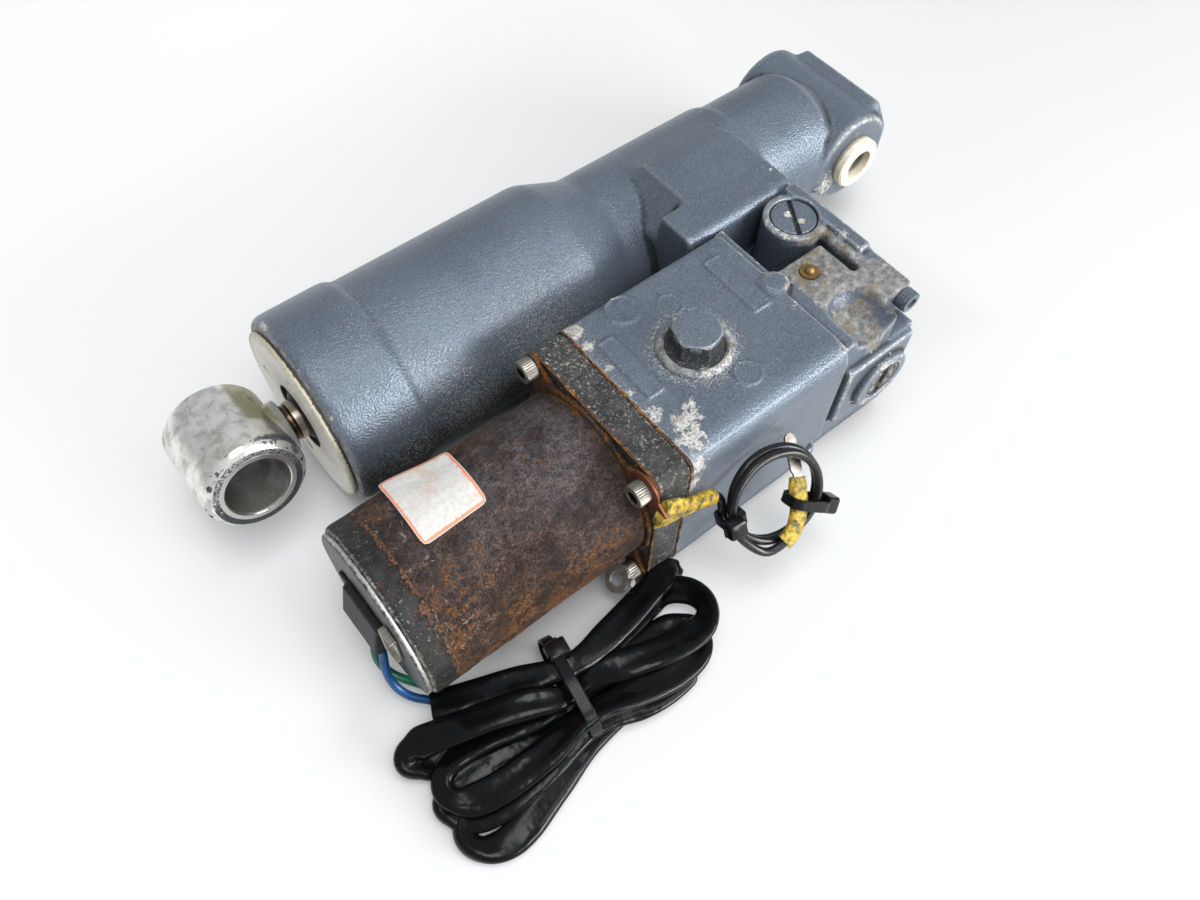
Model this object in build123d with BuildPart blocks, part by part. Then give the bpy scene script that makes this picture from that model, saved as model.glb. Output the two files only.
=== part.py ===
from build123d import *
import os
from math import sin, cos, tan, pi, radians, degrees, hypot, atan2, sqrt, acos

os.makedirs("parts", exist_ok=True)

# ---------------------------------------------------------------- driving dimensions (mm)
# origin: centre of the lower pivot bore. +X runs from the rod eye to the lower pivot,
# +Y from the motor side to the cylinder side, +Z up from the table.
CAP = -305.0          # gland end of the barrel
GAP = 0.05            # radial running clearance

R_A, R_B, R_C, R_D = 44.9, 42.8, 34.9, 32.9      # barrel steps, outside radius
BORE_BIG, BORE_SMALL = 36.0, 27.0                # trim bore and lower bore
ROD_R = 9.0
EYE_X, EYE_R, EYE_HALF, EYE_BORE, EYE_TURN = -31.0, 22.0, 23.0, 14.0, 10.0
TUBE_IN, TUBE_OUT = 22.0, BORE_SMALL - GAP       # sliding tilt tube

MY = -96.2            # motor axis, Y
MOT_R, MOT_IN = 38.0, 35.5
FL = 41.0             # half side of the square flange and reservoir
SCR_Y, SCR_Z = 35.3, 35.5                        # flange screw offsets

PIV_R, PIV_HALF, PIV_BORE = 24.0, 34.0, 11.0     # lower pivot boss
BUSH_BORE, BUSH_COLLAR = 8.0, 13.5

GEAR_N, GEAR_M = 12, 1.75                        # pump gears
GEAR_C = GEAR_N * GEAR_M + 0.15                  # gear centre distance
FLOOR = -44.9                                    # resting surface


# ---------------------------------------------------------------- helpers
def turned(pts, y=0.0, z=0.0, mode=Mode.ADD, arc=360.0, start=0.0):
    """closed (x, r) profile turned about a line along X; x is measured from the gland end"""
    base = Plane(origin=(CAP, y, z), x_dir=(1, 0, 0), z_dir=(0, -1, 0))
    with BuildSketch(base.rotated((start, 0, 0)), mode=Mode.PRIVATE) as s:
        with BuildLine():
            Polyline(*pts, close=True)
        make_face()
    revolve(s.sketch, axis=Axis((CAP, y, z), (1, 0, 0)), revolution_arc=arc, mode=mode)


def block(x, y, z, mode=Mode.ADD):
    """box between limits; x is measured from the gland end"""
    cx, cy, cz = (x[0] + x[1]) / 2 + CAP, (y[0] + y[1]) / 2, (z[0] + z[1]) / 2
    with Locations((cx, cy, cz)):
        Box(x[1] - x[0], y[1] - y[0], z[1] - z[0], mode=mode)


def round_x(x, y, z, r, mode=Mode.ADD):
    """cylinder along X"""
    with Locations(Location(((x[0] + x[1]) / 2 + CAP, y, z), (0, 90, 0))):
        Cylinder(r, x[1] - x[0], mode=mode)


def round_y(x, y, z, r, mode=Mode.ADD):
    """cylinder along Y"""
    with Locations(Location((x + CAP, (y[0] + y[1]) / 2, z), (90, 0, 0))):
        Cylinder(r, y[1] - y[0], mode=mode)


def round_z(x, y, z, r, mode=Mode.ADD):
    """cylinder along Z"""
    with Locations(Location((x + CAP, y, (z[0] + z[1]) / 2))):
        Cylinder(r, z[1] - z[0], mode=mode)


def face_x(x, y=0.0, z=0.0):
    """sketch plane facing +X, local x = Y, local y = Z"""
    return Plane(origin=(x + CAP, y, z), x_dir=(0, 1, 0), z_dir=(1, 0, 0))


def face_z(z):
    """sketch plane facing +Z with x measured from the gland end"""
    return Plane(origin=(CAP, 0, z), x_dir=(1, 0, 0), z_dir=(0, 0, 1))


def save(part, name):
    part.label = name
    export_step(part, "parts/%s.step" % name)


def gear_points(n, m, back=0.35):
    """outline of a spur gear with involute flanks, a tooth centred on +X"""
    pa = radians(20)
    rp = n * m / 2
    rb = rp * cos(pa)
    ra, rf = rp + 0.85 * m, rp - 1.15 * m
    half = pi / (2 * n) - back / (2 * rp)
    inv = tan(pa) - pa
    pts = []
    for k in range(n):
        a0 = 2 * pi * k / n
        flank = []
        for i in range(6):
            r = rb + (ra - rb) * i / 5
            t = acos(min(1.0, rb / r))
            flank.append((r, half + inv - (tan(t) - t)))
        side = [(rf, flank[0][1])] + flank
        for r, a in side:
            pts.append((r * cos(a0 - a), r * sin(a0 - a)))
        for r, a in reversed(side):
            pts.append((r * cos(a0 + a), r * sin(a0 + a)))
    return pts


def cord(points, r, share=0.45):
    """tube of straight runs joined by tangent arcs"""
    pts = [Vector(*p) for p in points]
    radii = []
    for a, b, c in zip(pts, pts[1:], pts[2:]):
        u, v = (b - a), (c - b)
        turn = radians(u.get_angle(v))
        radii.append(share * min(u.length, v.length) / tan(turn / 2))
    with BuildLine(mode=Mode.PRIVATE) as ln:
        FilletPolyline(*pts, radius=radii)
    wire = ln.wire()
    start = Plane(origin=pts[0], z_dir=(pts[1] - pts[0]))
    with BuildSketch(start, mode=Mode.PRIVATE) as sk:
        Circle(r)
    sweep(sk.sketch, path=wire)
    return wire.length, radii


# ================================================================ cylinder
with BuildPart() as cylinder_casting:
    # arm that carries the pump, with the cast ramp beside the barrel
    with BuildSketch(face_x(170)):
        Polygon((-53.5, -34), (-53.5, 37.5), (-50.5, 40.5), (-10, 40.5), (9, 33.8), (0, 0), (0, -34), align=None)
    extrude(amount=63)
    with BuildSketch(Plane(origin=(CAP, -33, 0), x_dir=(1, 0, 0), z_dir=(0, -1, 0))):
        Polygon((169, 24.5), (184, 39.9), (184, 41), (169, 41), align=None)
    extrude(amount=-46, mode=Mode.SUBTRACT)
    turned([(2.6, 0), (2.6, 41.4), (3.4, 43.2), (5.6, R_A), (37, R_A), (39.5, R_B), (135, R_B),
            (157, R_C), (243, R_C), (245, R_D), (290, R_D), (300, 25), (300, 0)])
    # pivot boss and end pad
    round_y(305, (-PIV_HALF, PIV_HALF), 0, PIV_R)
    with BuildSketch(face_x(284)):
        Polygon((33.9, 9), (26, 20), (-26, 20), (-33.9, 9), (-33.9, -9), (-26, -20), (26, -20), (33.9, -9), align=None)
    extrude(amount=45)
    # cast rib at the head of the ramp
    block((184.3, 186.3), (-33, -2), (38, 41.3))
    # bores
    round_x((0, 24.5), 0, 0, 38.0, mode=Mode.SUBTRACT)
    round_x((0, 146), 0, 0, BORE_BIG, mode=Mode.SUBTRACT)
    round_x((100, 268), 0, 0, BORE_SMALL, mode=Mode.SUBTRACT)
    round_y(305, (-40, 40), 0, PIV_BORE, mode=Mode.SUBTRACT)
    # threaded holes and oil ports in the arm
    for bx, bz in ((228.8, 32), (228.8, -28), (180, -28)):
        round_y(bx, (-54, -36), bz, 3.0 + GAP, mode=Mode.SUBTRACT)
    for px in (194, 214):
        round_y(px, (-54, -24), 0, 3.0, mode=Mode.SUBTRACT)
save(cylinder_casting.part, "cylinder_casting")

with BuildPart() as gland_cap:
    turned([(0, 15.2), (0, 39.2), (0.6, 39.9), (2.6, 39.9), (2.6, 38 - GAP), (24, 38 - GAP), (24, 13.1),
            (18.5, 13.1), (18.5, 11.05), (7, 11.05), (7, 9.6), (5, 9.6), (5, 15.2)])
    with BuildSketch(face_x(0)):
        with PolarLocations(27, 4, start_angle=8):
            Circle(3)
    extrude(amount=5, mode=Mode.SUBTRACT)
save(gland_cap.part, "gland_cap")

with BuildPart() as wiper_seal:
    turned([(0.8, ROD_R + 0.35), (-0.6, ROD_R + GAP), (0.2, ROD_R + 1.6), (1.6, 12.2), (1.6, 15.1), (4.95, 15.1),
            (4.95, ROD_R + 1.2), (2.2, ROD_R + 1.2)])
save(wiper_seal.part, "wiper_seal")

with BuildPart() as rod_bush:
    turned([(7.05, ROD_R + GAP), (7.05, 11), (18.4, 11), (18.4, ROD_R + GAP)])
save(rod_bush.part, "rod_bush")

with BuildPart() as rod_seal:
    turned([(18.55, ROD_R + GAP), (18.55, 13.05), (23.6, 13.05), (23.6, 12), (21, 11), (23.6, ROD_R + 0.9), (23.6, ROD_R + GAP)])
save(rod_seal.part, "rod_seal")

with BuildPart() as pivot_bushes:
    for s in (1, -1):
        lo, hi = sorted((s * (PIV_HALF - 22), s * (PIV_HALF + 0.05)))
        round_y(305, (lo, hi), 0, PIV_BORE - 0.02)
        lo, hi = sorted((s * (PIV_HALF + 0.05), s * (PIV_HALF + 5.6)))
        round_y(305, (lo, hi), 0, BUSH_COLLAR)
    chamfer(pivot_bushes.edges().filter_by(GeomType.CIRCLE).filter_by(lambda e: abs(abs(e.center().Y) - PIV_HALF - 5.6) < 0.01), 1.0)
    round_y(305, (-45, 45), 0, BUSH_BORE, mode=Mode.SUBTRACT)
save(pivot_bushes.part, "pivot_bushes")

# ================================================================ trim ram (slides in the casting)
with BuildPart() as trim_piston:
    turned([(122, TUBE_OUT + GAP), (122, 34.8), (123.2, BORE_BIG - GAP), (142.8, BORE_BIG - GAP), (144, 34.8), (144, TUBE_OUT + GAP)])
    for gx in (126.5, 135.5):
        turned([(gx, 32.8), (gx + 4, 32.8), (gx + 4, 37), (gx, 37)], mode=Mode.SUBTRACT)
save(trim_piston.part, "trim_piston")

with BuildPart() as trim_rings:
    for gx in (126.5, 135.5):
        turned([(gx + 0.05, 32.9), (gx + 3.95, 32.9), (gx + 3.95, BORE_BIG - GAP), (gx + 0.05, BORE_BIG - GAP)])
save(trim_rings.part, "trim_rings")

with BuildPart() as tilt_tube:
    turned([(108, TUBE_IN), (108, TUBE_OUT - 0.8), (108.8, TUBE_OUT), (267, TUBE_OUT), (267, 0), (263.6, 0), (263.6, TUBE_IN)])
save(tilt_tube.part, "tilt_tube")

with BuildPart() as tube_guide:
    turned([(109, ROD_R + GAP), (109, TUBE_IN - GAP), (121, TUBE_IN - GAP), (121, ROD_R + GAP)])
    turned([(113, 19.5), (116, 19.5), (116, 22.5), (113, 22.5)], mode=Mode.SUBTRACT)
save(tube_guide.part, "tube_guide")

# ================================================================ tilt ram (slides in the tilt tube)
with BuildPart() as piston_rod:
    turned([(-13.4, 0), (-13.4, ROD_R), (-6.4, ROD_R), (-5.6, ROD_R - 0.7), (-4.4, ROD_R - 0.7), (-3.6, ROD_R), (231, ROD_R),
            (231, 7), (259, 7), (259, 0)])
save(piston_rod.part, "piston_rod")

EYE_N = (0, -cos(radians(EYE_TURN)), sin(radians(EYE_TURN)))
eye_plane = Plane(origin=(CAP + EYE_X, 0, 0), x_dir=(1, 0, 0), z_dir=EYE_N)
with BuildPart() as rod_eye:
    with BuildSketch(eye_plane.offset(-EYE_HALF)):
        Circle(EYE_R)
    extrude(amount=2 * EYE_HALF)
    chamfer(rod_eye.edges().filter_by(GeomType.CIRCLE), 3.0)
    round_x((-18, -6.6), 0, 0, 12.0)
    with BuildSketch(eye_plane.offset(-EYE_HALF - 1)):
        Circle(EYE_BORE + 2.45)
    extrude(amount=2 * EYE_HALF + 2, mode=Mode.SUBTRACT)
    round_x((-13.5, -6), 0, 0, ROD_R + GAP, mode=Mode.SUBTRACT)
save(rod_eye.part, "rod_eye")

with BuildPart() as eye_bush:
    with BuildSketch(eye_plane.offset(-EYE_HALF)):
        Circle(EYE_BORE + 2.4)
        Circle(EYE_BORE, mode=Mode.SUBTRACT)
    extrude(amount=2 * EYE_HALF)
save(eye_bush.part, "eye_bush")

with BuildPart() as tilt_piston:
    turned([(231.05, 7 + GAP), (231.05, 20.8), (232.2, TUBE_IN - GAP), (248.8, TUBE_IN - GAP), (250, 20.8), (250, 7 + GAP)])
    turned([(238, 18.4), (243, 18.4), (243, 23), (238, 23)], mode=Mode.SUBTRACT)
    with BuildSketch(face_x(230)):
        with PolarLocations(13.2, 4, start_angle=45):
            Circle(2.2)
    extrude(amount=22, mode=Mode.SUBTRACT)
save(tilt_piston.part, "tilt_piston")

with BuildPart() as tilt_piston_ring:
    turned([(238.05, 18.5), (238.05, TUBE_IN - GAP), (242.95, TUBE_IN - GAP), (242.95, 18.5)])
save(tilt_piston_ring.part, "tilt_piston_ring")

with BuildPart() as shock_balls:
    with Locations(*[(CAP + 248.2, 13.2 * cos(radians(a)), 13.2 * sin(radians(a))) for a in (45, 135, 225, 315)]):
        Sphere(2.1)
save(shock_balls.part, "shock_balls")

with BuildPart() as rod_nut:
    with BuildSketch(face_x(250.05)):
        RegularPolygon(11, 6, major_radius=False)
        Circle(7 + GAP, mode=Mode.SUBTRACT)
    extrude(amount=6.6)
save(rod_nut.part, "rod_nut")

with BuildPart() as free_piston:
    turned([(252.3, 16), (252.3, 21.2), (253.0, TUBE_IN - GAP), (263.2, TUBE_IN - GAP), (263.2, 0), (260.4, 0), (260.4, 16)])
save(free_piston.part, "free_piston")

# ================================================================ pump housing and manifold
RX0, RX1 = 97.1, 184.0          # reservoir limits, from the gland end
MX1 = 233.0                     # far end of the manifold
RY0, RY1 = MY - FL, MY + FL     # -137.2 .. -55.2
DECK = 38.0                     # corroded deck of the manifold
VX, VY = 217.9, -68.6           # manual valve
PX, PY = 134.0, -96.2           # fill plug
BX, BZ = 212.6, 0.0             # side port boss

with BuildPart() as pump_housing:
    with BuildSketch(face_x(RX0, MY)):
        RectangleRounded(2 * FL, 2 * FL, 4)
    extrude(amount=RX1 - RX0)
    long_top = [e for e in pump_housing.edges().filter_by(Axis.X) if e.center().Z > 36 and e.center().Y < MY]
    # rounded upper outer edge
    with BuildSketch(face_x(RX0)):
        with BuildLine():
            Polyline((RY0 - 1, FL + 1), (RY0 + 9, FL + 1), (RY0 + 9, FL), (RY0 + 6, FL - 0.6), (RY0 + 2.6, FL - 2.6),
                     (RY0 + 0.6, FL - 6), (RY0, FL - 9), (RY0 - 1, FL - 9), close=True)
        make_face()
    extrude(amount=RX1 - RX0, mode=Mode.SUBTRACT)
    # manifold block
    block((RX1 - 0.5, MX1), (-134, -54), (-38, DECK))
    block((226, MX1), (-101, -54), (DECK - 2, 41))
    block((222.5, MX1), (-125.5, -54), (24, 38.6))
    # side port block and boss
    block((190, 230), (-137.6, -120), (-19, 19))
    round_y(BX, (-141, -120), BZ, 15.0)
    # mounting pad on the arm face
    block((172, MX1), (-56, -53.5), (-34, 12))
    # pocket around the manual valve
    block((188.5, 222.5), (-86, -50), (12, 50), mode=Mode.SUBTRACT)
    round_z(VX, VY, (10, 40), 14.0)
    block((217.4, 221.6), (-106, -84), (26, 45), mode=Mode.SUBTRACT)
    # scoop and step at the outer end
    round_y(203.5, (-150, -121), 41, 13.0, mode=Mode.SUBTRACT)
    with Locations((203.5 + CAP, -121, 41)):
        Sphere(13.0, mode=Mode.SUBTRACT)
    block((216, 240), (-150, -125.5), (20, 50), mode=Mode.SUBTRACT)
    # reservoir chamber
    with BuildSketch(face_x(RX0, MY)):
        RectangleRounded(70, 70, 14)
    extrude(amount=77, mode=Mode.SUBTRACT)
    # filler boss
    round_z(PX, PY, (36, 42), 15.0)
    round_z(PX, PY, (40, 45), 13.2, mode=Mode.SUBTRACT)
    round_z(PX, PY, (30, 45), ROD_R + GAP, mode=Mode.SUBTRACT)
    # raised cast pads on the top
    block((103.5, 111), (-104, -72), (40.5, 41.7))
    block((166, 174.5), (-98, -66), (40.5, 41.7))
    round_z(123.0, -63.7, (40.5, 41.6), 7.3)
    round_z(142.2, -118.6, (40.5, 41.6), 5.8)
    round_z(184.0, -91.5, (36, 41.9), 6.0)
    # manual valve bore, gallery plug bore, port bore
    round_z(VX, VY, (14, 50), 6.0 + GAP, mode=Mode.SUBTRACT)
    round_z(VX, VY, (36.8, 50), 10.8, mode=Mode.SUBTRACT)
    round_z(202.0, -94.5, (33, 50), 4.2 + GAP, mode=Mode.SUBTRACT)
    round_y(BX, (-150, -129), BZ, 10.4 + GAP, mode=Mode.SUBTRACT)
    # relief valve bore, from the far end
    round_x((200, 240), -100, -10, 5.0 + GAP, mode=Mode.SUBTRACT)
    # bolt holes along Y with counterbores
    for bx, bz in ((228.8, 32), (228.8, -28), (180, -28)):
        round_y(bx, (-150, -50), bz, 3.0 + GAP, mode=Mode.SUBTRACT)
        round_y(bx, (-150, -125.5), bz, 5.4, mode=Mode.SUBTRACT)
    # oil ports to the arm
    for px in (194, 214):
        round_y(px, (-70, -50), 0, 3.0, mode=Mode.SUBTRACT)
    # tapped holes for the motor flange and the pump
    for sy in (1, -1):
        for sz in (1, -1):
            round_x((RX0 - 1, RX0 + 18), MY + sy * SCR_Y, sz * SCR_Z, 3.0 + GAP, mode=Mode.SUBTRACT)
save(pump_housing.part, "pump_housing")

with BuildPart() as manifold_bolts:
    for bx, bz in ((228.8, 32), (228.8, -28), (180, -28)):
        round_y(bx, (-131.4, -125.55), bz, 5.0)
        round_y(bx, (-125.6, -38), bz, 3.0)
        with BuildSketch(Plane(origin=(bx + CAP, -131.4, bz), x_dir=(1, 0, 0), z_dir=(0, 1, 0))):
            RegularPolygon(2.5, 6, major_radius=False)
        extrude(amount=3.4, mode=Mode.SUBTRACT)
save(manifold_bolts.part, "manifold_bolts")

with BuildPart() as fill_plug:
    round_z(PX, PY, (33, 41.6), ROD_R)
    round_z(PX, PY, (41.6, 43.2), 12.2)
    with BuildSketch(face_z(43.2)):
        with Locations((PX, PY)):
            RegularPolygon(9.5, 6, major_radius=False, rotation=15)
    extrude(amount=9.8)
    chamfer(fill_plug.faces().sort_by(Axis.Z)[-1].edges(), 0.8)
save(fill_plug.part, "fill_plug")

with BuildPart() as fill_plug_seal:
    with BuildSketch(face_z(40.35)):
        with Locations((PX, PY)):
            Circle(12.2)
            Circle(ROD_R + 0.2, mode=Mode.SUBTRACT)
    extrude(amount=1.2)
save(fill_plug_seal.part, "fill_plug_seal")

with BuildPart() as manual_valve:
    round_z(VX, VY, (17.5, 37.15), 6.0)
    round_z(VX, VY, (37.15, 39.8), 10.2)
    with Locations(Location((VX + CAP, VY, 39.3), (0, 0, -121))):
        Box(22, 2.0, 2.4, mode=Mode.SUBTRACT)
    with BuildSketch(face_z(17.5)):
        with Locations((VX, VY)):
            Circle(6)
    extrude(amount=-3, taper=45)
save(manual_valve.part, "manual_valve")

with BuildPart() as gallery_plug:
    round_z(202.0, -94.5, (33.1, 38.2), 4.2)
    with Locations((202.0 + CAP, -94.5, 38.2)):
        Sphere(2.4)
save(gallery_plug.part, "gallery_plug")

with BuildPart() as port_plug:
    round_y(BX, (-140.2, -129.1), BZ, 10.4)
    with Locations(Location((BX + CAP, -140.2, BZ), (0, 35, 0))):
        Box(16, 4.0, 2.6, mode=Mode.SUBTRACT)
save(port_plug.part, "port_plug")

# relief valve in the far end of the manifold
with BuildPart() as relief_plug:
    round_x((225, 234.2), -100, -10, 5.0)
    with BuildSketch(face_x(234.2, -100, -10)):
        RegularPolygon(2.5, 6, major_radius=False)
    extrude(amount=-4, mode=Mode.SUBTRACT)
save(relief_plug.part, "relief_plug")

with BuildPart() as relief_spring:
    helix_path = Wire([Edge.make_helix(pitch=2.6, height=15.6, radius=3.4, center=(CAP + 208.4, -100, -10), normal=(1, 0, 0))])
    with BuildSketch(Plane(origin=helix_path @ 0, z_dir=helix_path % 0)):
        Circle(0.55)
    sweep(path=helix_path, is_frenet=True)
save(relief_spring.part, "relief_spring")

# ================================================================ motor
with BuildPart() as motor_flange:
    with BuildSketch(face_x(81.6, MY)):
        RectangleRounded(2 * FL, 2 * FL, 6)
        with GridLocations(2 * SCR_Y, 2 * SCR_Z, 2, 2):
            Circle(3.0 + GAP, mode=Mode.SUBTRACT)
    extrude(amount=15)
    round_x((84, 97), MY, 0, 11.05, mode=Mode.SUBTRACT)
    round_x((80, 97), MY, 0, 5.0, mode=Mode.SUBTRACT)
    turned([(90.6, 16), (97, 16), (97, 29), (90.6, 29)], y=MY, mode=Mode.SUBTRACT)
save(motor_flange.part, "motor_flange")

with BuildPart() as flange_gasket:
    with BuildSketch(face_x(96.6, MY)):
        RectangleRounded(2 * FL - 0.6, 2 * FL - 0.6, 5)
        RectangleRounded(70, 70, 14, mode=Mode.SUBTRACT)
        with GridLocations(2 * SCR_Y, 2 * SCR_Z, 2, 2):
            Circle(3.0 + GAP, mode=Mode.SUBTRACT)
    extrude(amount=0.5)
save(flange_gasket.part, "flange_gasket")

with BuildPart() as motor_plate:
    with BuildSketch(face_x(79.2, MY)):
        Circle(40.2)
        with GridLocations(2 * SCR_Y, 2 * SCR_Z, 2, 2):
            Circle(5.6)
        for sy in (1, -1):
            for sz in (1, -1):
                Polygon((sy * 20, sz * 33), (sy * SCR_Y, sz * (SCR_Z + 5.5)), (sy * (SCR_Y + 5.5), sz * SCR_Z), (sy * 33, sz * 20), align=None)
        with GridLocations(2 * SCR_Y, 2 * SCR_Z, 2, 2):
            Circle(3.0 + GAP, mode=Mode.SUBTRACT)
        Circle(30, mode=Mode.SUBTRACT)
    extrude(amount=2.4)
save(motor_plate.part, "motor_plate")

with BuildPart() as flange_screws:
    for sy in (1, -1):
        for sz in (1, -1):
            off = -1.1 if (sy < 0 and sz > 0) else 0.0
            y, z = MY + sy * SCR_Y, sz * SCR_Z
            round_x((73.2 + off, 79.2 + off), y, z, 5.0)
            round_x((79.1 + off, 113 + off), y, z, 3.0)
            with BuildSketch(Plane(origin=(73.2 + off + CAP, y, z), x_dir=(0, 1, 0), z_dir=(1, 0, 0))):
                RegularPolygon(2.5, 6, major_radius=False)
            extrude(amount=3.4, mode=Mode.SUBTRACT)
save(flange_screws.part, "flange_screws")

with BuildPart() as motor_tube:
    turned([(-10, MOT_IN), (-10, MOT_R), (79.15, MOT_R), (79.15, MOT_IN)], y=MY)
save(motor_tube.part, "motor_tube")

with BuildPart() as motor_end_cap:
    turned([(-22, 4.6), (-22, 36.4), (-20.6, MOT_R), (-10.05, MOT_R), (-10.05, MOT_IN - GAP), (-5, MOT_IN - GAP), (-5, 33),
            (-18.5, 33), (-18.5, 14), (-10.5, 14), (-10.5, 11.05), (-17.5, 11.05), (-17.5, 4.6)], y=MY)
save(motor_end_cap.part, "motor_end_cap")

with BuildPart() as motor_end_plate:
    turned([(-24.4, 0), (-24.4, 34.2), (-23.6, 35.2), (-22.05, 35.2), (-22.05, 0)], y=MY)
save(motor_end_plate.part, "motor_end_plate")

with BuildPart() as lead_grommet:
    with BuildSketch(Plane(origin=(CAP, -82, 0), x_dir=(1, 0, 0), z_dir=(0, -1, 0))):
        Polygon((-24.45, 8), (-27.8, 8), (-31.4, -9), (-30.4, -13), (-24.45, -13), align=None)
    extrude(amount=24)
    block((-26.0, -24.45), (-106, -76), (-13, 8))
save(lead_grommet.part, "lead_grommet")

with BuildPart() as terminal_clip:
    block((-27.6, -24.45), (-117.5, -109.0), (-1.5, 17))
    block((-27.7, -25.6), (-117.6, -110.0), (-0.3, 16), mode=Mode.SUBTRACT)
    with Locations(Location((CAP - 25, -113.5, 9))):
        Cylinder(2.0, 6, rotation=(0, 90, 0), mode=Mode.SUBTRACT)
save(terminal_clip.part, "terminal_clip")

with BuildPart() as motor_label:
    turned([(0, MOT_R + 0.06), (0, MOT_R + 0.26), (30.5, MOT_R + 0.26), (30.5, MOT_R + 0.06)], y=MY, arc=70, start=-8)
save(motor_label.part, "motor_label")

with BuildPart() as magnets:
    for a in (15, 105, 195, 285):
        turned([(8, 31.6), (8, MOT_IN - GAP), (66, MOT_IN - GAP), (66, 31.6)], y=MY, arc=60, start=a)
save(magnets.part, "magnets")

with BuildPart() as brush_plate:
    turned([(-5, 13.4), (-5, 33), (-3, 33), (-3, 13.4)], y=MY)
save(brush_plate.part, "brush_plate")

with BuildPart() as brushes:
    block((-2.95, 3.6), (MY - 3, MY + 3), (12.35, 24))
    block((-2.95, 3.6), (MY - 3, MY + 3), (-24, -12.35))
save(brushes.part, "brushes")

with BuildPart() as motor_bearings:
    for x0 in (-17.45, 84.05):
        turned([(x0, 4 + GAP), (x0, 11), (x0 + 6.9, 11), (x0 + 6.9, 4 + GAP)], y=MY)
save(motor_bearings.part, "motor_bearings")

# rotor: turns with the drive gear
with BuildPart() as motor_shaft:
    round_x((-17, 104), MY, 0, 4.0)
save(motor_shaft.part, "motor_shaft")

with BuildPart() as armature_core:
    with BuildSketch(face_x(16, MY)):
        Circle(30.4)
        with PolarLocations(25.5, 12):
            Rectangle(9, 3.2)
        with PolarLocations(25.5, 12):
            Rectangle(10.5, 3.2, mode=Mode.SUBTRACT)
        Circle(4 + GAP, mode=Mode.SUBTRACT)
    extrude(amount=44)
save(armature_core.part, "armature_core")

with BuildPart() as armature_windings:
    turned([(7, 11), (7, 22), (9, 27), (15.95, 27), (15.95, 11)], y=MY)
    turned([(60.05, 11), (60.05, 27), (67, 27), (70, 22), (70, 11)], y=MY)
    with BuildSketch(face_x(15.9, MY)):
        with PolarLocations(25.2, 12):
            Rectangle(8.4, 3.0)
    extrude(amount=44.2)
save(armature_windings.part, "armature_windings")

with BuildPart() as commutator:
    with BuildSketch(face_x(-4.2, MY)):
        Circle(12.0)
        with PolarLocations(11.6, 12, start_angle=15):
            Rectangle(1.6, 0.6, mode=Mode.SUBTRACT)
        Circle(4 + GAP, mode=Mode.SUBTRACT)
    extrude(amount=9)
save(commutator.part, "commutator")

with BuildPart() as shaft_coupling:
    turned([(97.4, 4 + GAP), (97.4, 8), (112, 8), (112, 4 + GAP)], y=MY)
save(shaft_coupling.part, "shaft_coupling")

# ================================================================ gear pump inside the reservoir
GX0, GX1 = 134.0, 144.0
with BuildPart() as pump_body:
    with BuildSketch(face_x(GX0)):
        with Locations((MY, -9.5)):
            RectangleRounded(40, 50, 6)
    extrude(amount=174 - GX0)
    ra = GEAR_N * GEAR_M / 2 + 0.85 * GEAR_M
    round_x((GX0 - 1, GX1), MY, 0, ra + 0.12, mode=Mode.SUBTRACT)
    round_x((GX0 - 1, GX1), MY, -GEAR_C, ra + 0.12, mode=Mode.SUBTRACT)
    round_x((GX0, 158), MY, 0, 4 + GAP, mode=Mode.SUBTRACT)
    round_x((GX0, 158), MY, -GEAR_C, 4 + GAP, mode=Mode.SUBTRACT)
    block((150, 180), (MY + 12, MY + 25), (-40, 20), mode=Mode.SUBTRACT)
    block((150, 180), (MY - 25, MY - 12), (-40, 20), mode=Mode.SUBTRACT)
save(pump_body.part, "pump_body")

with BuildPart() as pump_cover:
    with BuildSketch(face_x(128)):
        with Locations((MY, -9.5)):
            RectangleRounded(40, 50, 6)
        with Locations((MY, 0), (MY, -GEAR_C)):
            Circle(4 + GAP, mode=Mode.SUBTRACT)
    extrude(amount=GX0 - 128 - 0.02)
save(pump_cover.part, "pump_cover")

with BuildPart() as drive_gear:
    with BuildSketch(face_x(GX0 + 0.15, MY)):
        Polygon(*gear_points(GEAR_N, GEAR_M), align=None)
    extrude(amount=GX1 - GX0 - 0.3)
    round_x((104.1, 157), MY, 0, 4.0)
save(drive_gear.part, "drive_gear")

with BuildPart() as driven_gear:
    with BuildSketch(face_x(GX0 + 0.15, MY, -GEAR_C)):
        turned_pts = [(x * cos(PH) - y * sin(PH), x * sin(PH) + y * cos(PH)) for PH in [0.0] for x, y in gear_points(GEAR_N, GEAR_M)]
        Polygon(*turned_pts, align=None, rotation=degrees(pi / GEAR_N))
    extrude(amount=GX1 - GX0 - 0.3)
    round_x((129, 157), MY, -GEAR_C, 4.0)
save(driven_gear.part, "driven_gear")

with BuildPart() as suction_filter:
    round_x((140, 168), MY, 23.0, 7.2)
    round_x((138, 140), MY, 23.0, 5.0)
    block((150, 158), (MY - 4, MY + 4), (15.55, 19))
save(suction_filter.part, "suction_filter")

# ================================================================ leads, ground lead and harness
LEAD_R = 1.8
lead_info = {}
with BuildPart() as lead_green:
    lead_info["lead_green"] = cord([(CAP - 28.4, -98.5, -13.05), (CAP - 28.4, -98.5, -16.5), (CAP - 30.6, -101.0, -22), (CAP - 30.6, -103.2, -28.5),
                                    (CAP - 28.4, -108.0, -34.5), (CAP - 22.3, -114.8, -39.5), (CAP - 16.3, -122.6, -41.0),
                                    (CAP - 10.6, -126.6, -40.2), (CAP - 6.5, -130.1, -39.5)], LEAD_R)
save(lead_green.part, "lead_green")

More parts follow.
